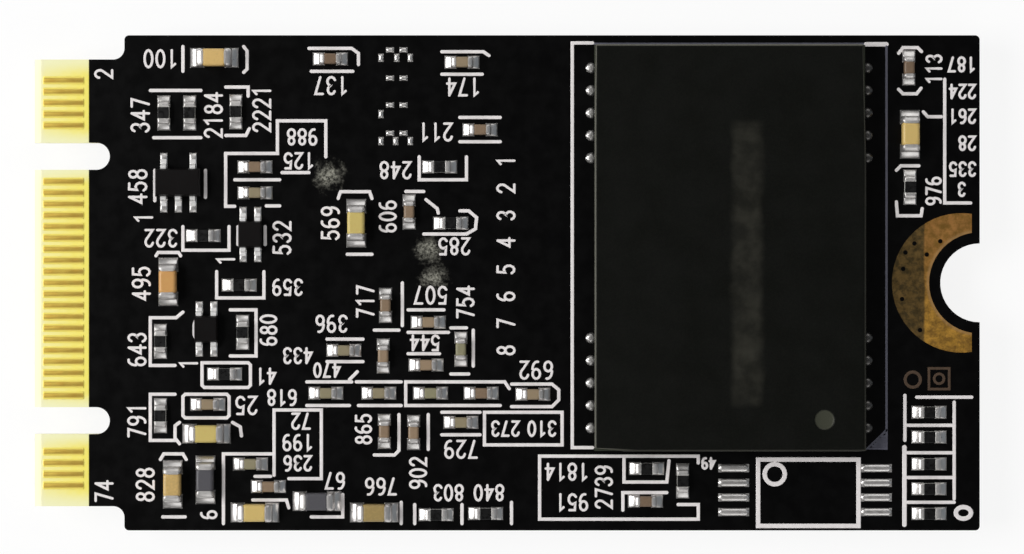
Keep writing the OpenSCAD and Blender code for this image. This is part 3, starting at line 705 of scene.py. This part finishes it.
block_parts("front", "front_large_capacitor", ochre, large_size, 0.3 * MM, large_tints)
block_parts("front", "front_small_capacitor", brown, small_size, 0.2 * MM)
block_parts("front", "ferrite_bead", ferrite, large_size, 0.28 * MM)
block_parts("back", "back_large_capacitor", ochre, large_size, 0.3 * MM)
block_parts("back", "back_small_capacitor", brown, small_size, 0.2 * MM)
for side in faces:
    resistors(side)


# Moulded chips
# Black epoxy moulded round the die, with tinned copper leads bent down to the lands. The flash memory and the
# controller are cast in flat sheets and sawn apart, so their walls are upright, and a dimple marks the first
# ball.
def compound(name, first, second, grain, roughness):
    """Moulding compound: dark epoxy with silica grains that give it a fine matt bite. Returns the finish, and
    its colour for the caller to change and set."""
    finish = Finish(name)
    finish.surface(
        Roughness=finish.uneven(1.5 * MM, roughness, roughness + 0.1),
        Specular_IOR_Level=0.15,
        Normal=finish.grain(grain, 0.003 * MM, 0.4, 3.0, 0.7),
    )
    return finish, finish.mix(finish.spread(finish.noise(grain, 2.0, 0.8), 0.35, 0.7), first, second)


chip_mould, chip_colour = compound("chip_mould", tone(10, 6, 6), tone(17, 11, 11), 0.05 * MM, 0.45)
chip_mould.surface(Base_Color=chip_colour).on("supply_chip_body", "gate_chip_bodies", "converter_chip_body")
leads_tin = Finish("lead_tin")
leads_tin.surface(
    Base_Color=leads_tin.cloudy(0.2 * MM, tone(250, 249, 247), tone(232, 230, 228)),
    Metallic=0.3,
    Roughness=leads_tin.uneven(0.1 * MM, 0.3, 0.45),
    Normal=leads_tin.grain(0.08 * MM, 0.003 * MM, 0.4, 2.0),
)
leads_tin.on("supply_chip_leads", "gate_chip_leads", "converter_chip_leads")

# The packages' compound, with a paler dimple, a painted highlight on the sawn edges and a faint rubbed streak
# along the flash memory
package_mould, mould_colour = compound("package_mould", tone(14, 15, 12), tone(21, 22, 18), 0.06 * MM, 0.4)
dimple_and_painted_rim_highlight = package_mould.tint()
streak_x = contact_edge + 31.6 * MM
from_streak = abs(package_mould.along("X") + (package_mould.noise(1.1 * MM) - 0.5) * (0.5 * MM) - streak_x)
streak = package_mould.spread(from_streak, 0.4 * MM, 0.85 * MM, 1.0, 0.0)
streak = streak * package_mould.spread(package_mould.along("Y"), 6.9 * MM, 7.3 * MM, 1.0, 0.0)
streak = streak * package_mould.spread(package_mould.along("Y"), -5.6 * MM, -5.2 * MM)
streak = streak * package_mould.spread(package_mould.noise(1.3 * MM, 4.0, 0.6), 0.3, 0.75, 0.25, 1.0)
streak = streak * package_mould.along("Z").above(upper_face)
mould_colour = package_mould.mix(streak, mould_colour, tone(53, 52, 46))
mould_colour = package_mould.mix(dimple_and_painted_rim_highlight.larger(0.0), mould_colour, tone(66, 67, 57))
# Where the tint is negative, the rim and walls are painted pale grey: a painted highlight on the lit edges.
package_mould.surface(Base_Color=package_mould.mix((0 - dimple_and_painted_rim_highlight).larger(0.0), mould_colour, tone(98, 97, 88)))


def rays(polygon, centre, angles):
    """Where rays from a centre inside a closed polygon cross it: a ray d meets the edge e that starts at p,
    seen from the centre, at the distance (p x e) / (d x e), where (p x d) / (d x e) is from 0 to 1."""
    start = polygon - centre
    edge = np.roll(polygon, -1, 0) - polygon
    way = np.stack([np.cos(angles), np.sin(angles)], 1)
    with np.errstate(divide="ignore", invalid="ignore"):
        slant = way[:, :1] * edge[:, 1] - way[:, 1:] * edge[:, 0]
        distance = (start[:, 0] * edge[:, 1] - start[:, 1] * edge[:, 0]) / slant
        share = (way[:, 1:] * start[:, 0] - way[:, :1] * start[:, 1]) / slant
    met = (distance > 0) & (share > -1e-9) & (share < 1 + 1e-9)
    return centre + way * np.where(met, distance, np.inf).min(1)[:, None]


# A cap's walls run up to a rim, and its flat back down into the dimple, with all its points on rays from the
# dimple's centre. Its tint is 1 on the dimple's floor and negative on the walls and sawn rim, which the
# finish paints pale as a painted highlight, strongest on the contacts' side and on the +Y side, which face
# the lamps.
rim_r = 0.09 * MM
sawn_r = 0.03 * MM
for name, up in (("front_flash_cap", 1), ("back_flash_cap", -1), ("controller_cap", -1)):
    box = solids(name)
    corners = corners_of(name)
    inner = (corners[:, 2] > box[0, 0, 2] + 0.01 * MM) & (corners[:, 2] < box[0, 1, 2] - 0.01 * MM)
    floor_low, floor_high = corners[inner].min(0), corners[inner].max(0)
    centre = ((floor_low + floor_high) / 2)[:2]
    sink_r = (floor_high - floor_low)[0] / 2
    (foot,), (top,) = levels(box, up)
    rims = [(0.0, foot)]
    tints = [-0.4, -0.4, -0.8, -1.0, -0.8, 0.0]
    for angle in np.linspace(math.pi / 2, 0, 5):
        rims.append((rim_r * (1 - math.sin(angle)), top - up * rim_r * (1 - math.cos(angle))))
    rims.append((rim_r * 2, top))
    last = outline(box, rim_r * 2, sawn_r)[0] - centre
    to_corners = np.arctan2(last[:, 1], last[:, 0])
    angles = np.sort(np.append(to_corners, np.linspace(-math.pi, math.pi, 40, endpoint=False)))
    way = np.stack([np.cos(angles), np.sin(angles)], 1)
    rings = []
    for inset, height in rims:
        rings.append(ring(rays(outline(box, inset, sawn_r)[0], centre, angles)[None], height))
    for part, depth in ((1.1, 0), (1.0, 0), (0.96, 0.3), (0.9, 0.8), (0.8, 1.0)):
        fall = depth * abs(top - floor_low[2])
        rings.append(ring((centre + way * sink_r * part)[None], top - up * fall))
    rings = stacked(rings, up)
    tints = np.array(tints + [0, 0, 0, 0.5, 1, 1])[:, None]
    # The painted highlight is full on the sides that face the lamps, and weaker on the others.
    painted_lit_sides = (rings[0, 0, :, 0] < box[0, 0, 0] + rim_r) | (rings[0, 0, :, 1] > box[0, 1, 1] - rim_r)
    tints = tints * np.where(painted_lit_sides | (tints > 0), 1.0, 0.3)
    tint(skin(name + "_moulded", rings, package_mould, [name]), tints, rings)

carrier = Finish("package_carrier")
carrier.surface(
    Base_Color=carrier.cloudy(0.3 * MM, tone(40, 46, 34), tone(58, 60, 44)),
    Roughness=carrier.uneven(0.1 * MM, 0.4, 0.6, reach=0.2),
    Normal=carrier.grain(0.04 * MM, 0.004 * MM, 0.6),
)
carrier.on("front_flash_carrier", "back_flash_carrier", "controller_carrier")

# The leads' feet, which is what lies beyond their bends, are soldered down
bend_l = 0.3 * MM
chip_nodes = [
    ("front", "supply_chip", "supply_chip_body"),
    ("front", "gate_chip", "gate_chip_bodies"),
    ("back", "converter_chip", "converter_chip_body"),
]
for side, chip, body in chip_nodes:
    leads = solids(chip + "_leads")
    owner, _ = owners(leads, solids(body)[:, :, :2].mean(1))
    outward = np.sign(leads[:, :, 1].mean(1) - owner[:, 1])
    feet = leads.copy()
    feet[:, 0, 1] += np.where(outward > 0, bend_l, 0)
    feet[:, 1, 1] -= np.where(outward > 0, 0, bend_l)
    root = feet[:, :, :2].mean(1) - np.stack([np.zeros(len(feet)), outward * 0.5 * MM], 1)
    solder_rings[side].append(fillets(side, feet, root, 0.09 * MM))


# Power inductor and crystal
# On the lower face: a ferrite block with wide tinned ends, and a ceramic boat closed by a metal lid.
core_ends = solids("inductor_ends")
core = solids("inductor_core")
length, drop, rounding = 0.2 * MM, 0.14 * MM, 0.1 * MM
rings = block(shortened(core, length), rounding, -1)
tint(skin("inductor_ferrite", rings, ferrite, ["inductor_core"]), 0.2, rings)
owner, away = owners(core_ends, core[:, :, :2].mean(1))
rings = end_caps(core_ends, away, length, drop, rounding, -1)
skin("inductor_tinned", rings, tin, ["inductor_ends"])
solder_rings["back"].append(fillets("back", core_ends, owner, 0.4 * MM))
lid = Finish("crystal_lid")
lid.surface(
    Base_Color=lid.cloudy(0.4 * MM, tone(200, 202, 204), tone(176, 178, 182)),
    Metallic=1.0,
    Roughness=lid.uneven(0.2 * MM, 0.25, 0.38, 4.0, 0.2),
)
lid.on("crystal_lid")
alumina.on("crystal_base")

# All parts are on the card, so the solder round them is complete, and the lands left over are the bare ones
for side, rings in solder_rings.items():
    skin(side + "_solder_fillets", np.concatenate(rings), solder, wrap=True, smooth=70)
    skin(side + "_solder_domes", domes(side, 0.09 * MM), solder, smooth=70)


# Printed marks
# White ink screened onto the mask: frames round the parts, the flash package's outline, and a plain number
# beside each part. The ink lies less than a hair thick. Each stroke ends round, and where two cross, one is
# higher.
ink_h = 0.014 * MM
line_w = 0.15 * MM
wide_w = 0.2 * MM
digit_w = 0.115 * MM


def arc(x, y, rx, ry, first, last, steps=9):
    """Points (x + rx cos a, y + ry sin a) of an ellipse, for a from first to last in degrees."""
    angle = np.radians(np.linspace(first, last, steps))
    return np.stack([x + rx * np.cos(angle), y + ry * np.sin(angle)], 1)


def boxed(x0, y0, x1, y1):
    """The closed path of a rectangle, between two opposite corners."""
    return (x0, y0, x1, y0, x1, y1, x0, y1, x0, y0)


def joined(*stretches):
    """One path through points and arcs, end to end."""
    return np.concatenate([np.reshape(stretch, (-1, 2)) for stretch in stretches])


# Strokes of the digits, in a cell 0.6 wide and 1 high
DIGITS = [
    [arc(0.3, 0.5, 0.26, 0.48, 90, 450, 17)],
    [joined((0.12, 0.8), (0.34, 0.97), (0.34, 0.02))],
    [joined(arc(0.3, 0.72, 0.25, 0.26, 170, -35), (0.06, 0.02), (0.55, 0.02))],
    [joined(arc(0.28, 0.74, 0.23, 0.24, 160, -80), arc(0.28, 0.26, 0.26, 0.25, 80, -160))],
    [joined((0.42, 0.02), (0.42, 0.97)), joined((0.42, 0.97), (0.04, 0.3), (0.57, 0.3))],
    [joined((0.5, 0.97), (0.12, 0.97), (0.09, 0.55), arc(0.28, 0.32, 0.27, 0.3, 120, -150))],
    [arc(0.36, 0.56, 0.31, 0.42, 80, 180), arc(0.3, 0.29, 0.25, 0.27, 180, 540, 15)],
    [joined((0.06, 0.97), (0.54, 0.97), (0.22, 0.02))],
    [arc(0.3, 0.75, 0.21, 0.22, 270, -90, 13), arc(0.3, 0.27, 0.26, 0.26, 90, 450, 13)],
    [arc(0.3, 0.71, 0.25, 0.27, 0, 360, 15), arc(0.24, 0.44, 0.31, 0.42, 0, -100)],
]


def stroke(path, width, height):
    """A raised stroke along a path of points in metres, as rows (rows, 4, 3), and whether it is closed.
    Across it the ink rises to a flat back over the middle four fifths. An open stroke narrows in a half
    circle at each end, and a closed one runs round without ends. Each row stands square to the path, and is
    widened at bends by 1 / cos of half the bend."""
    kept = np.linalg.norm(np.diff(path, axis=0), axis=1) > 1e-9
    path = path[np.concatenate([[True], kept])]
    closed = np.linalg.norm(path[0] - path[-1]) < 1e-9
    run = np.diff(path, axis=0)
    run /= np.linalg.norm(run, axis=1, keepdims=True)
    before = np.concatenate([run[-1:] if closed else run[:1], run])
    after = np.concatenate([run, run[:1] if closed else run[-1:]])
    tangent = before + after
    tangent /= np.linalg.norm(tangent, axis=1, keepdims=True)
    normal = np.stack([-tangent[:, 1], tangent[:, 0]], 1)
    reach = 1 / np.clip((tangent * before).sum(1), 0.5, 1)
    if closed:
        path, normal, reach = path[:-1], normal[:-1], reach[:-1]
    else:
        tip = np.array([1, 0.7, 0.3])[:, None] * width / 2
        path = np.concatenate([path[:1] - tangent[:1] * tip, path, path[-1:] + tangent[-1:] * tip[::-1]])
        normal = np.concatenate([np.repeat(normal[:1], 3, 0), normal, np.repeat(normal[-1:], 3, 0)])
        reach = np.concatenate([[0.02, 0.714, 0.954], reach, [0.954, 0.714, 0.02]])
    across = width / 2 * reach[:, None] * np.array([1, 0.8, -0.8, -1])
    flat = path[:, None] + normal[:, None] * across[..., None]
    heights = np.broadcast_to(height * np.array([0, 1, 1, 0]), flat.shape[:2])
    return np.concatenate([flat, heights[..., None]], -1), closed


def print_marks(name, strokes, side, finish):
    """One piece of ink made of strokes (path on the card in mm, width). Their heights go from 0.8 to 1.2 of
    ink_h in steps of the golden ratio, so that no two backs lie in one plane where strokes cross."""
    level, up = faces[side]
    points, quads, count = [], [], 0
    for order, (path, width) in enumerate(strokes):
        height = ink_h * (0.8 + 0.4 * (order * 0.618 % 1))
        rows, closed = stroke(on_card(path), width, height)
        rows[..., 2] = level + up * rows[..., 2]
        number = count + np.arange(len(rows) * 4).reshape(-1, 4)
        after = np.roll(number, -1, 0) if closed else number[1:]
        first = number if closed else number[:-1]
        sides = np.stack([first, after, np.roll(after, -1, 1), np.roll(first, -1, 1)], -1).reshape(-1, 4)
        if not closed:
            sides = np.concatenate([sides, number[:1], number[-1:, ::-1]])
        quads.append(sides if up < 0 else sides[:, ::-1])
        points.append(rows.reshape(-1, 3))
        count += rows.shape[0] * 4
    mesh = bpy.data.meshes.new(name)
    mesh.from_pydata(np.concatenate(points).tolist(), [], np.concatenate(quads).tolist())
    card_piece(name, mesh, finish)


def screened(name, first, second):
    """Screen ink: chalky, a little uneven where the mesh of the screen let less of it through."""
    finish = Finish(name)
    finish.surface(
        Base_Color=finish.cloudy(0.15 * MM, first, second, 4.0),
        Roughness=finish.uneven(0.1 * MM, 0.5, 0.7, reach=0.2),
        Normal=finish.grain(0.04 * MM, 0.004 * MM, 0.6),
    )
    return finish


def number_strokes(text, x, y, turn, height, up=1):
    """Strokes of a plain number centred at (x, y) on the card, turned anticlockwise by turn degrees. A digit
    is 0.51 of its height wide, and they stand 0.68 of it apart. On the lower face up is -1, and the number
    reads from below."""
    angle = math.radians(turn)
    across = up * np.array([math.cos(angle), math.sin(angle)])
    upright = np.array([-math.sin(angle), math.cos(angle)])
    strokes = []
    for place, digit in enumerate(text):
        shift = (place - len(text) / 2) * 0.68 * height + 0.085 * height
        for path in DIGITS[int(digit)]:
            local = path * (0.85 * height, height) + (shift, -height / 2)
            strokes.append(((x, y) + local[:, :1] * across + local[:, 1:] * upright, digit_w))
    return strokes


# Paths of the printed lines: x and y on the card in mm, point after point
marks = [
    (6.6, 9.4, 6.6, 10.5), (9.3, 10.5, 9.45, 10.3, 9.45, 9.5, 9.3, 9.35), (5.15, 8.55, 7.4, 8.55),
    (5.3, 6.45, 7.4, 6.45), (8.5, 8.7, 9.5, 8.7, 9.5, 8.3), (8.5, 6.55, 9.4, 6.55, 9.55, 6.85),
    (12.2, 10.42, 14.1, 10.42, 14.4, 10.2, 14.4, 9.7), (12.3, 9.4, 14.15, 9.4),
    (18.1, 10.27, 19.95, 10.27, 20.2, 10.1), (18.1, 9.27, 19.9, 9.27), (18.9, 7.35, 20.7, 7.35),
    (18.9, 6.27, 20.7, 6.27), (11, 4.9, 12.2, 4.9),
    (12.95, 5.6, 12.95, 7.2, 10.8, 7.2, 10.8, 5.75, 8.5, 5.75, 8.5, 3.4, 8.9, 3.4),
    (8.9, 4.58, 10.9, 4.58), (10.3, 3.42, 10.9, 3.42), (5.35, 3.65, 5.35, 5), (7.6, 3.8, 7.6, 5),
    (9.05, 1.7, 9.05, 2.5), (10.25, 1.7, 10.25, 2.5), (7.2, -1.58, 7.1, -1.85, 7.1, -2.3, 7.2, -2.52),
    (6.6, 2.5, 6.6, 1.45, 8.65, 1.45, 8.65, 2.5), (13.5, 3.75, 13.6, 4.05, 14.9, 4.05, 15, 3.75),
    (13.9, 1.27, 15, 1.27), (17.1, 5.6, 17.1, 4.58, 19.2, 4.58, 19.2, 5.6), (16.5, 4.06, 17.3, 4.06),
    (17.3, 2.17, 19.2, 2.17, 19.6, 2.4, 19.65, 2.9, 19.3, 3.2, 18.9, 3.2),
    (17.4, 3.7, 17.9, 3.3, 17.95, 3.1), (5.4, 1.2, 5.5, 1.35, 6.4, 1.35, 6.5, 1.2),
    (8.1, 0.5, 8.1, -0.67, 10.2, -0.67, 10.2, 0.5),
    (6.6, -1.3, 6.3, -1.55, 5.15, -1.55, 5.15, -3.67, 6.25, -3.67),
    (8.7, -1.2, 9.85, -1.2, 9.85, -3.25, 8.7, -3.25),
    (7.45, -3.55, 9.5, -3.55, 9.6, -3.65, 9.6, -4.55, 9.5, -4.65, 7.55, -4.65, 7.45, -4.55, 7.45, -3.55),
    (6.25, -4.95, 5.15, -4.95, 5.15, -7, 6.25, -7),
    (6.7, -4.95, 8.55, -4.95, 8.65, -5.05, 8.65, -5.9, 8.55, -6, 6.7, -6, 6.6, -5.9, 6.6, -5.05, 6.7, -4.95),
    (6.45, -6.2, 6.25, -6.35, 6.25, -6.9, 6.45, -7.15), (8.8, -6.2, 9.15, -6.4, 9.2, -6.8),
    (10.65, -8.55, 10.65, -5.65, 12.75, -5.65, 12.75, -8.7, 11.3, -8.7), (13, -2.5, 14.6, -2.5),
    (13, -3.5, 14.6, -3.5), (14, -4.3, 14.35, -3.95), (16.35, 0, 16.35, -1.9), (15.1, -2.1, 16.2, -2.1),
    (16.6, -1.2, 18.2, -1.2), (16.6, -2.2, 18.4, -2.2), (16.6, -3.15, 18, -3.15), (18.5, -2, 19.2, -2),
    (19.5, -2.1, 19.5, -3.7), (18.5, -4.05, 19.3, -4.05), (12.1, -4.4, 14.1, -4.4),
    (12.1, -5.45, 14, -5.45), (14.3, -4.4, 16.3, -4.4), (14.4, -5.45, 16.3, -5.45),
    (20.7, -5.45, 16.5, -5.45, 16.5, -4.4, 20.9, -4.4, 21.1, -4.7),
    (21.2, -4.5, 23, -4.5, 23.3, -4.75, 23.3, -5.2, 23, -5.5, 21.2, -5.5),
    (20, -5.75, 23.45, -5.75, 23.45, -7.2, 20, -7.2, 20, -5.75), (18.1, -5.75, 19.8, -5.75),
    (18.1, -6.75, 19.8, -6.75), (16.2, -5.85, 16.2, -7.45, 16, -7.65, 15.1, -7.65),
    (17.5, -5.85, 17.5, -7.4), (5.6, -7.85, 5.75, -7.6, 6.6, -7.6, 6.75, -7.85),
    (5.7, -10.4, 6.7, -10.4), (10.6, -7.6, 8.4, -7.6, 8.4, -10.7), (9.8, -8.6, 10.5, -8.6),
    (9.7, -9.65, 11.2, -9.65, 11.3, -10), (13.7, -9.4, 13.7, -10.4, 12.3, -10.4),
    (16.3, -9.75, 16.3, -10.7), (16.9, -9.85, 16.9, -10.7), (19, -9.85, 19, -10.7),
    (21.2, -9.75, 21.2, -10.7),
    (28.6, -9.85, 29.5, -9.85, 29.5, -10.5, 22.45, -10.5, 22.45, -7.7, 29.5, -7.7, 29.5, -8),
    (26.2, -7.8, 26.2, -8.85, 28.1, -8.85, 28.2, -7.9), (26.15, -10.1, 26.15, -9.32, 28.1, -9.32),
    (38.4, 10.2, 38.6, 10.45, 39.25, 10.45, 39.42, 10.28), (38.4, 8.6, 38.6, 8.4, 39.2, 8.4, 39.4, 8.65),
    (39.5, 7.6, 39.7, 7.38, 40.3, 7.38), (40.45, 9.05, 40.45, 3.55, 41.6, 3.55),
    (38.3, 5, 38.5, 5.2, 39.3, 5.2), (38.3, 3.6, 38.35, 2.98, 39.4, 2.98, 39.45, 3.3),
    (39.2, -5.08, 41.65, -5.08), (38.68, -5, 38.68, -7), (38.8, -6.33, 40.87, -6.33),
    (38.8, -7.55, 40.87, -7.55), (38.8, -8.65, 40.87, -8.65), (38.8, -9.75, 40.87, -9.75),
    (40.87, -5.3, 40.87, -9.6), (24.8, 10.66, 23.9, 10.66, 23.9, -7.32, 24.8, -7.32),
]
wide_marks = [
    boxed(32.16, -7.85, 36.62, -10.8), arc(32.9, -8.5, 0.45, 0.45, 0, 360, 21),
    arc(41.28, -10.22, 0.34, 0.26, 0, 360, 17), (38.66, -7.3, 38.66, -10.75), (36.95, 10.6, 37.86, 10.6),
]
strokes = [(path, line_w) for path in marks] + [(path, wide_w) for path in wide_marks]

# Places of the numbers, by their turn in degrees: x and y on the card, how many digits, and their height
number_places = [
    (180, [
        (5.6, 9.96, 3, 0.78), (13.18, 8.76, 3, 0.78), (19.05, 8.7, 3, 0.78), (17.85, 6.7, 3, 0.78),
        (16.05, 5, 3, 0.74), (18.66, 1.62, 3, 0.74), (5.62, 1.98, 3, 0.76), (11.25, -0.2, 3, 0.7),
        (13.2, -1.82, 3, 0.74), (11.7, -3.24, 3, 0.68), (13, -3.88, 3, 0.62), (17.6, -0.55, 3, 0.78),
        (17.35, -2.67, 3, 0.68), (10.3, -4.15, 2, 0.7), (11, -5.1, 3, 0.68), (9.42, -5.45, 2, 0.8),
        (22.3, -3.88, 3, 0.78), (18.96, -7.4, 3, 0.78), (15.4, -9.05, 3, 0.74), (18.4, -9.33, 3, 0.7),
        (20.2, -9.33, 3, 0.7), (13.35, -8.8, 2, 0.72), (23.65, -8.4, 4, 0.74), (23.9, -9.75, 3, 0.74),
        (11.9, 6.48, 3, 0.7), (11.75, 5.42, 3, 0.7), (11.85, -6.15, 2, 0.7), (11.7, -7.1, 3, 0.7),
        (11.7, -8.02, 3, 0.66), (20.93, -6.48, 3, 0.66), (22.55, -6.48, 3, 0.66),
    ]),
    (90, [
        (4.7, 7.45, 3, 0.8), (7.95, 7.45, 4, 0.78), (10.1, 7.71, 4, 0.78), (4.59, 4.28, 3, 0.8),
        (4.75, -0.03, 3, 0.78), (11, 2, 3, 0.78), (13.15, 2.65, 3, 0.78), (15.7, 2.95, 3, 0.74),
        (4.56, -2.96, 3, 0.78), (10.4, -2.1, 3, 0.72), (14.7, -0.83, 3, 0.76), (19.15, -0.86, 3, 0.76),
        (4.55, -6.13, 3, 0.78), (4.92, -8.97, 3, 0.78), (14.62, -6.5, 3, 0.7), (17.05, -8.45, 3, 0.74),
        (25.3, -9.08, 4, 0.74), (39.95, 4.08, 3, 0.66), (39.97, 9.5, 3, 0.68), (7.75, -10.3, 1, 0.7),
    ]),
    (180, [
        (41.2, 9.7, 3, 0.64), (41.24, 8.5, 3, 0.62), (41.24, 7.4, 3, 0.62), (41.45, 6.2, 2, 0.62),
        (41.24, 5.05, 3, 0.62), (41.2, 4.15, 1, 0.6), (29.95, -8.02, 2, 0.48),
    ]),
]
count = 0
for turn, places in number_places:
    for x, y, digits, size in places:
        least = 10 ** (digits - 1)
        strokes += number_strokes(str(least + count * 37 % (9 * least)), x, y, turn, size)
        count += 1

# The numbers of the first and last contacts and of the chips' first leads, and the layer numbers in a row
lone_numbers = [(2, 3.08, 9.28), (74, 3.09, -9.26), (1, 4.85, 2.88), (1, 8.5, 1.02), (1, 6.85, -3.6)]
lone_numbers += [(layer, 20.95, 6.6 - 1.2 * layer) for layer in range(1, 9)]
for number, x, y in lone_numbers:
    strokes += number_strokes(str(number), x, y, 90, 0.78)
ink_tones = tone(252, 247, 245), tone(226, 219, 218)
print_marks("front_printed_marks", strokes, "front", screened("ink", *ink_tones))

# The thin print along the flash package's far sides, with its filled corner mark. Its ink is painted
# grey-blue
# instead of white: painted shade of the package on the print.
thin_marks = [
    ((24.9, 10.62, 36.85, 10.62), 0.1 * MM),
    ((37.86, 10.5, 37.86, -7.36, 37, -7.36, 37.86, -6.55), 0.11 * MM),
]
for x, y in ((37.25, -7.25), (37.35, -7.15), (37.45, -7.05), (37.55, -6.95), (37.66, -6.83)):
    thin_marks.append(((x, y, 37.78, y), 0.12 * MM))
# Grey-blue instead of white: painted shade on the print.
thin_ink_painted_shade = screened("thin_ink_painted_shade", tone(104, 104, 116), tone(74, 74, 86))
print_marks("front_thin_marks", thin_marks, "front", thin_ink_painted_shade)

# Test points under the mask beside the ground pad: a ring, and a square with a ring in it
test_points = [
    (arc(39.03, -4.3, 0.34, 0.34, 0, 360, 21), 0.14 * MM),
    (boxed(39.75, -3.8, 40.65, -4.72), 0.12 * MM),
    (arc(40.2, -4.26, 0.22, 0.22, 0, 360, 17), 0.12 * MM),
]
covered_copper = screened("covered_copper", tone(86, 66, 48), tone(60, 46, 34))
print_marks("front_test_points", test_points, "front", covered_copper)

# The lower face: a line along both sides of each small part with a number beside it, and a frame round each
# package
back_line_w = 0.13 * MM
overhang = 0.1
line_gap = 0.25
back_strokes = []
lined = ["back_large_capacitor_bodies", "back_small_capacitor_bodies", "back_resistor_slabs", "inductor_core"]
outlines = np.concatenate([solids(name)[:, :, :2] for name in lined]) / MM - (contact_edge / MM, 0)
for count, (low, high) in enumerate(outlines):
    x, y = (low + high) / 2
    length, width = (high - low) / 2
    if length > width:
        reach, gap = length + overhang, width + line_gap
        sides = [(x - reach, y + step, x + reach, y + step) for step in (-gap, gap)]
        spot = (x, y + math.copysign(width + 0.72, y))
    else:
        reach, gap = width + overhang, length + line_gap
        sides = [(x + step, y - reach, x + step, y + reach) for step in (-gap, gap)]
        spot = (x, y - width - 0.85)
    back_strokes += [(path, back_line_w) for path in sides]
    back_strokes += number_strokes(str(11 + count * 29 % 89), *spot, 0, 0.56, -1)
for name, gap in (("back_flash_cap", 0.17), ("controller_cap", 0.25), ("crystal_base", 0.22)):
    low, high = solids(name)[0, :, :2] / MM - (contact_edge / MM, 0)
    back_strokes.append((boxed(*(low - gap), *(high + gap)), 0.1 * MM))
for x in (5.3, 8.7):
    back_strokes.append(((x, 6.8, x, 8.4), back_line_w))
for number, x, y, turn in ((1, 3.08, 9.28, 90), (75, 3.09, -9.26, 90), (31, 7, 9.9, 0), (52, 23.1, 0.95, 0)):
    back_strokes += number_strokes(str(number), x, y, turn, 0.7, -1)
print_marks("back_printed_marks", back_strokes, "back", screened("back_ink", *ink_tones))
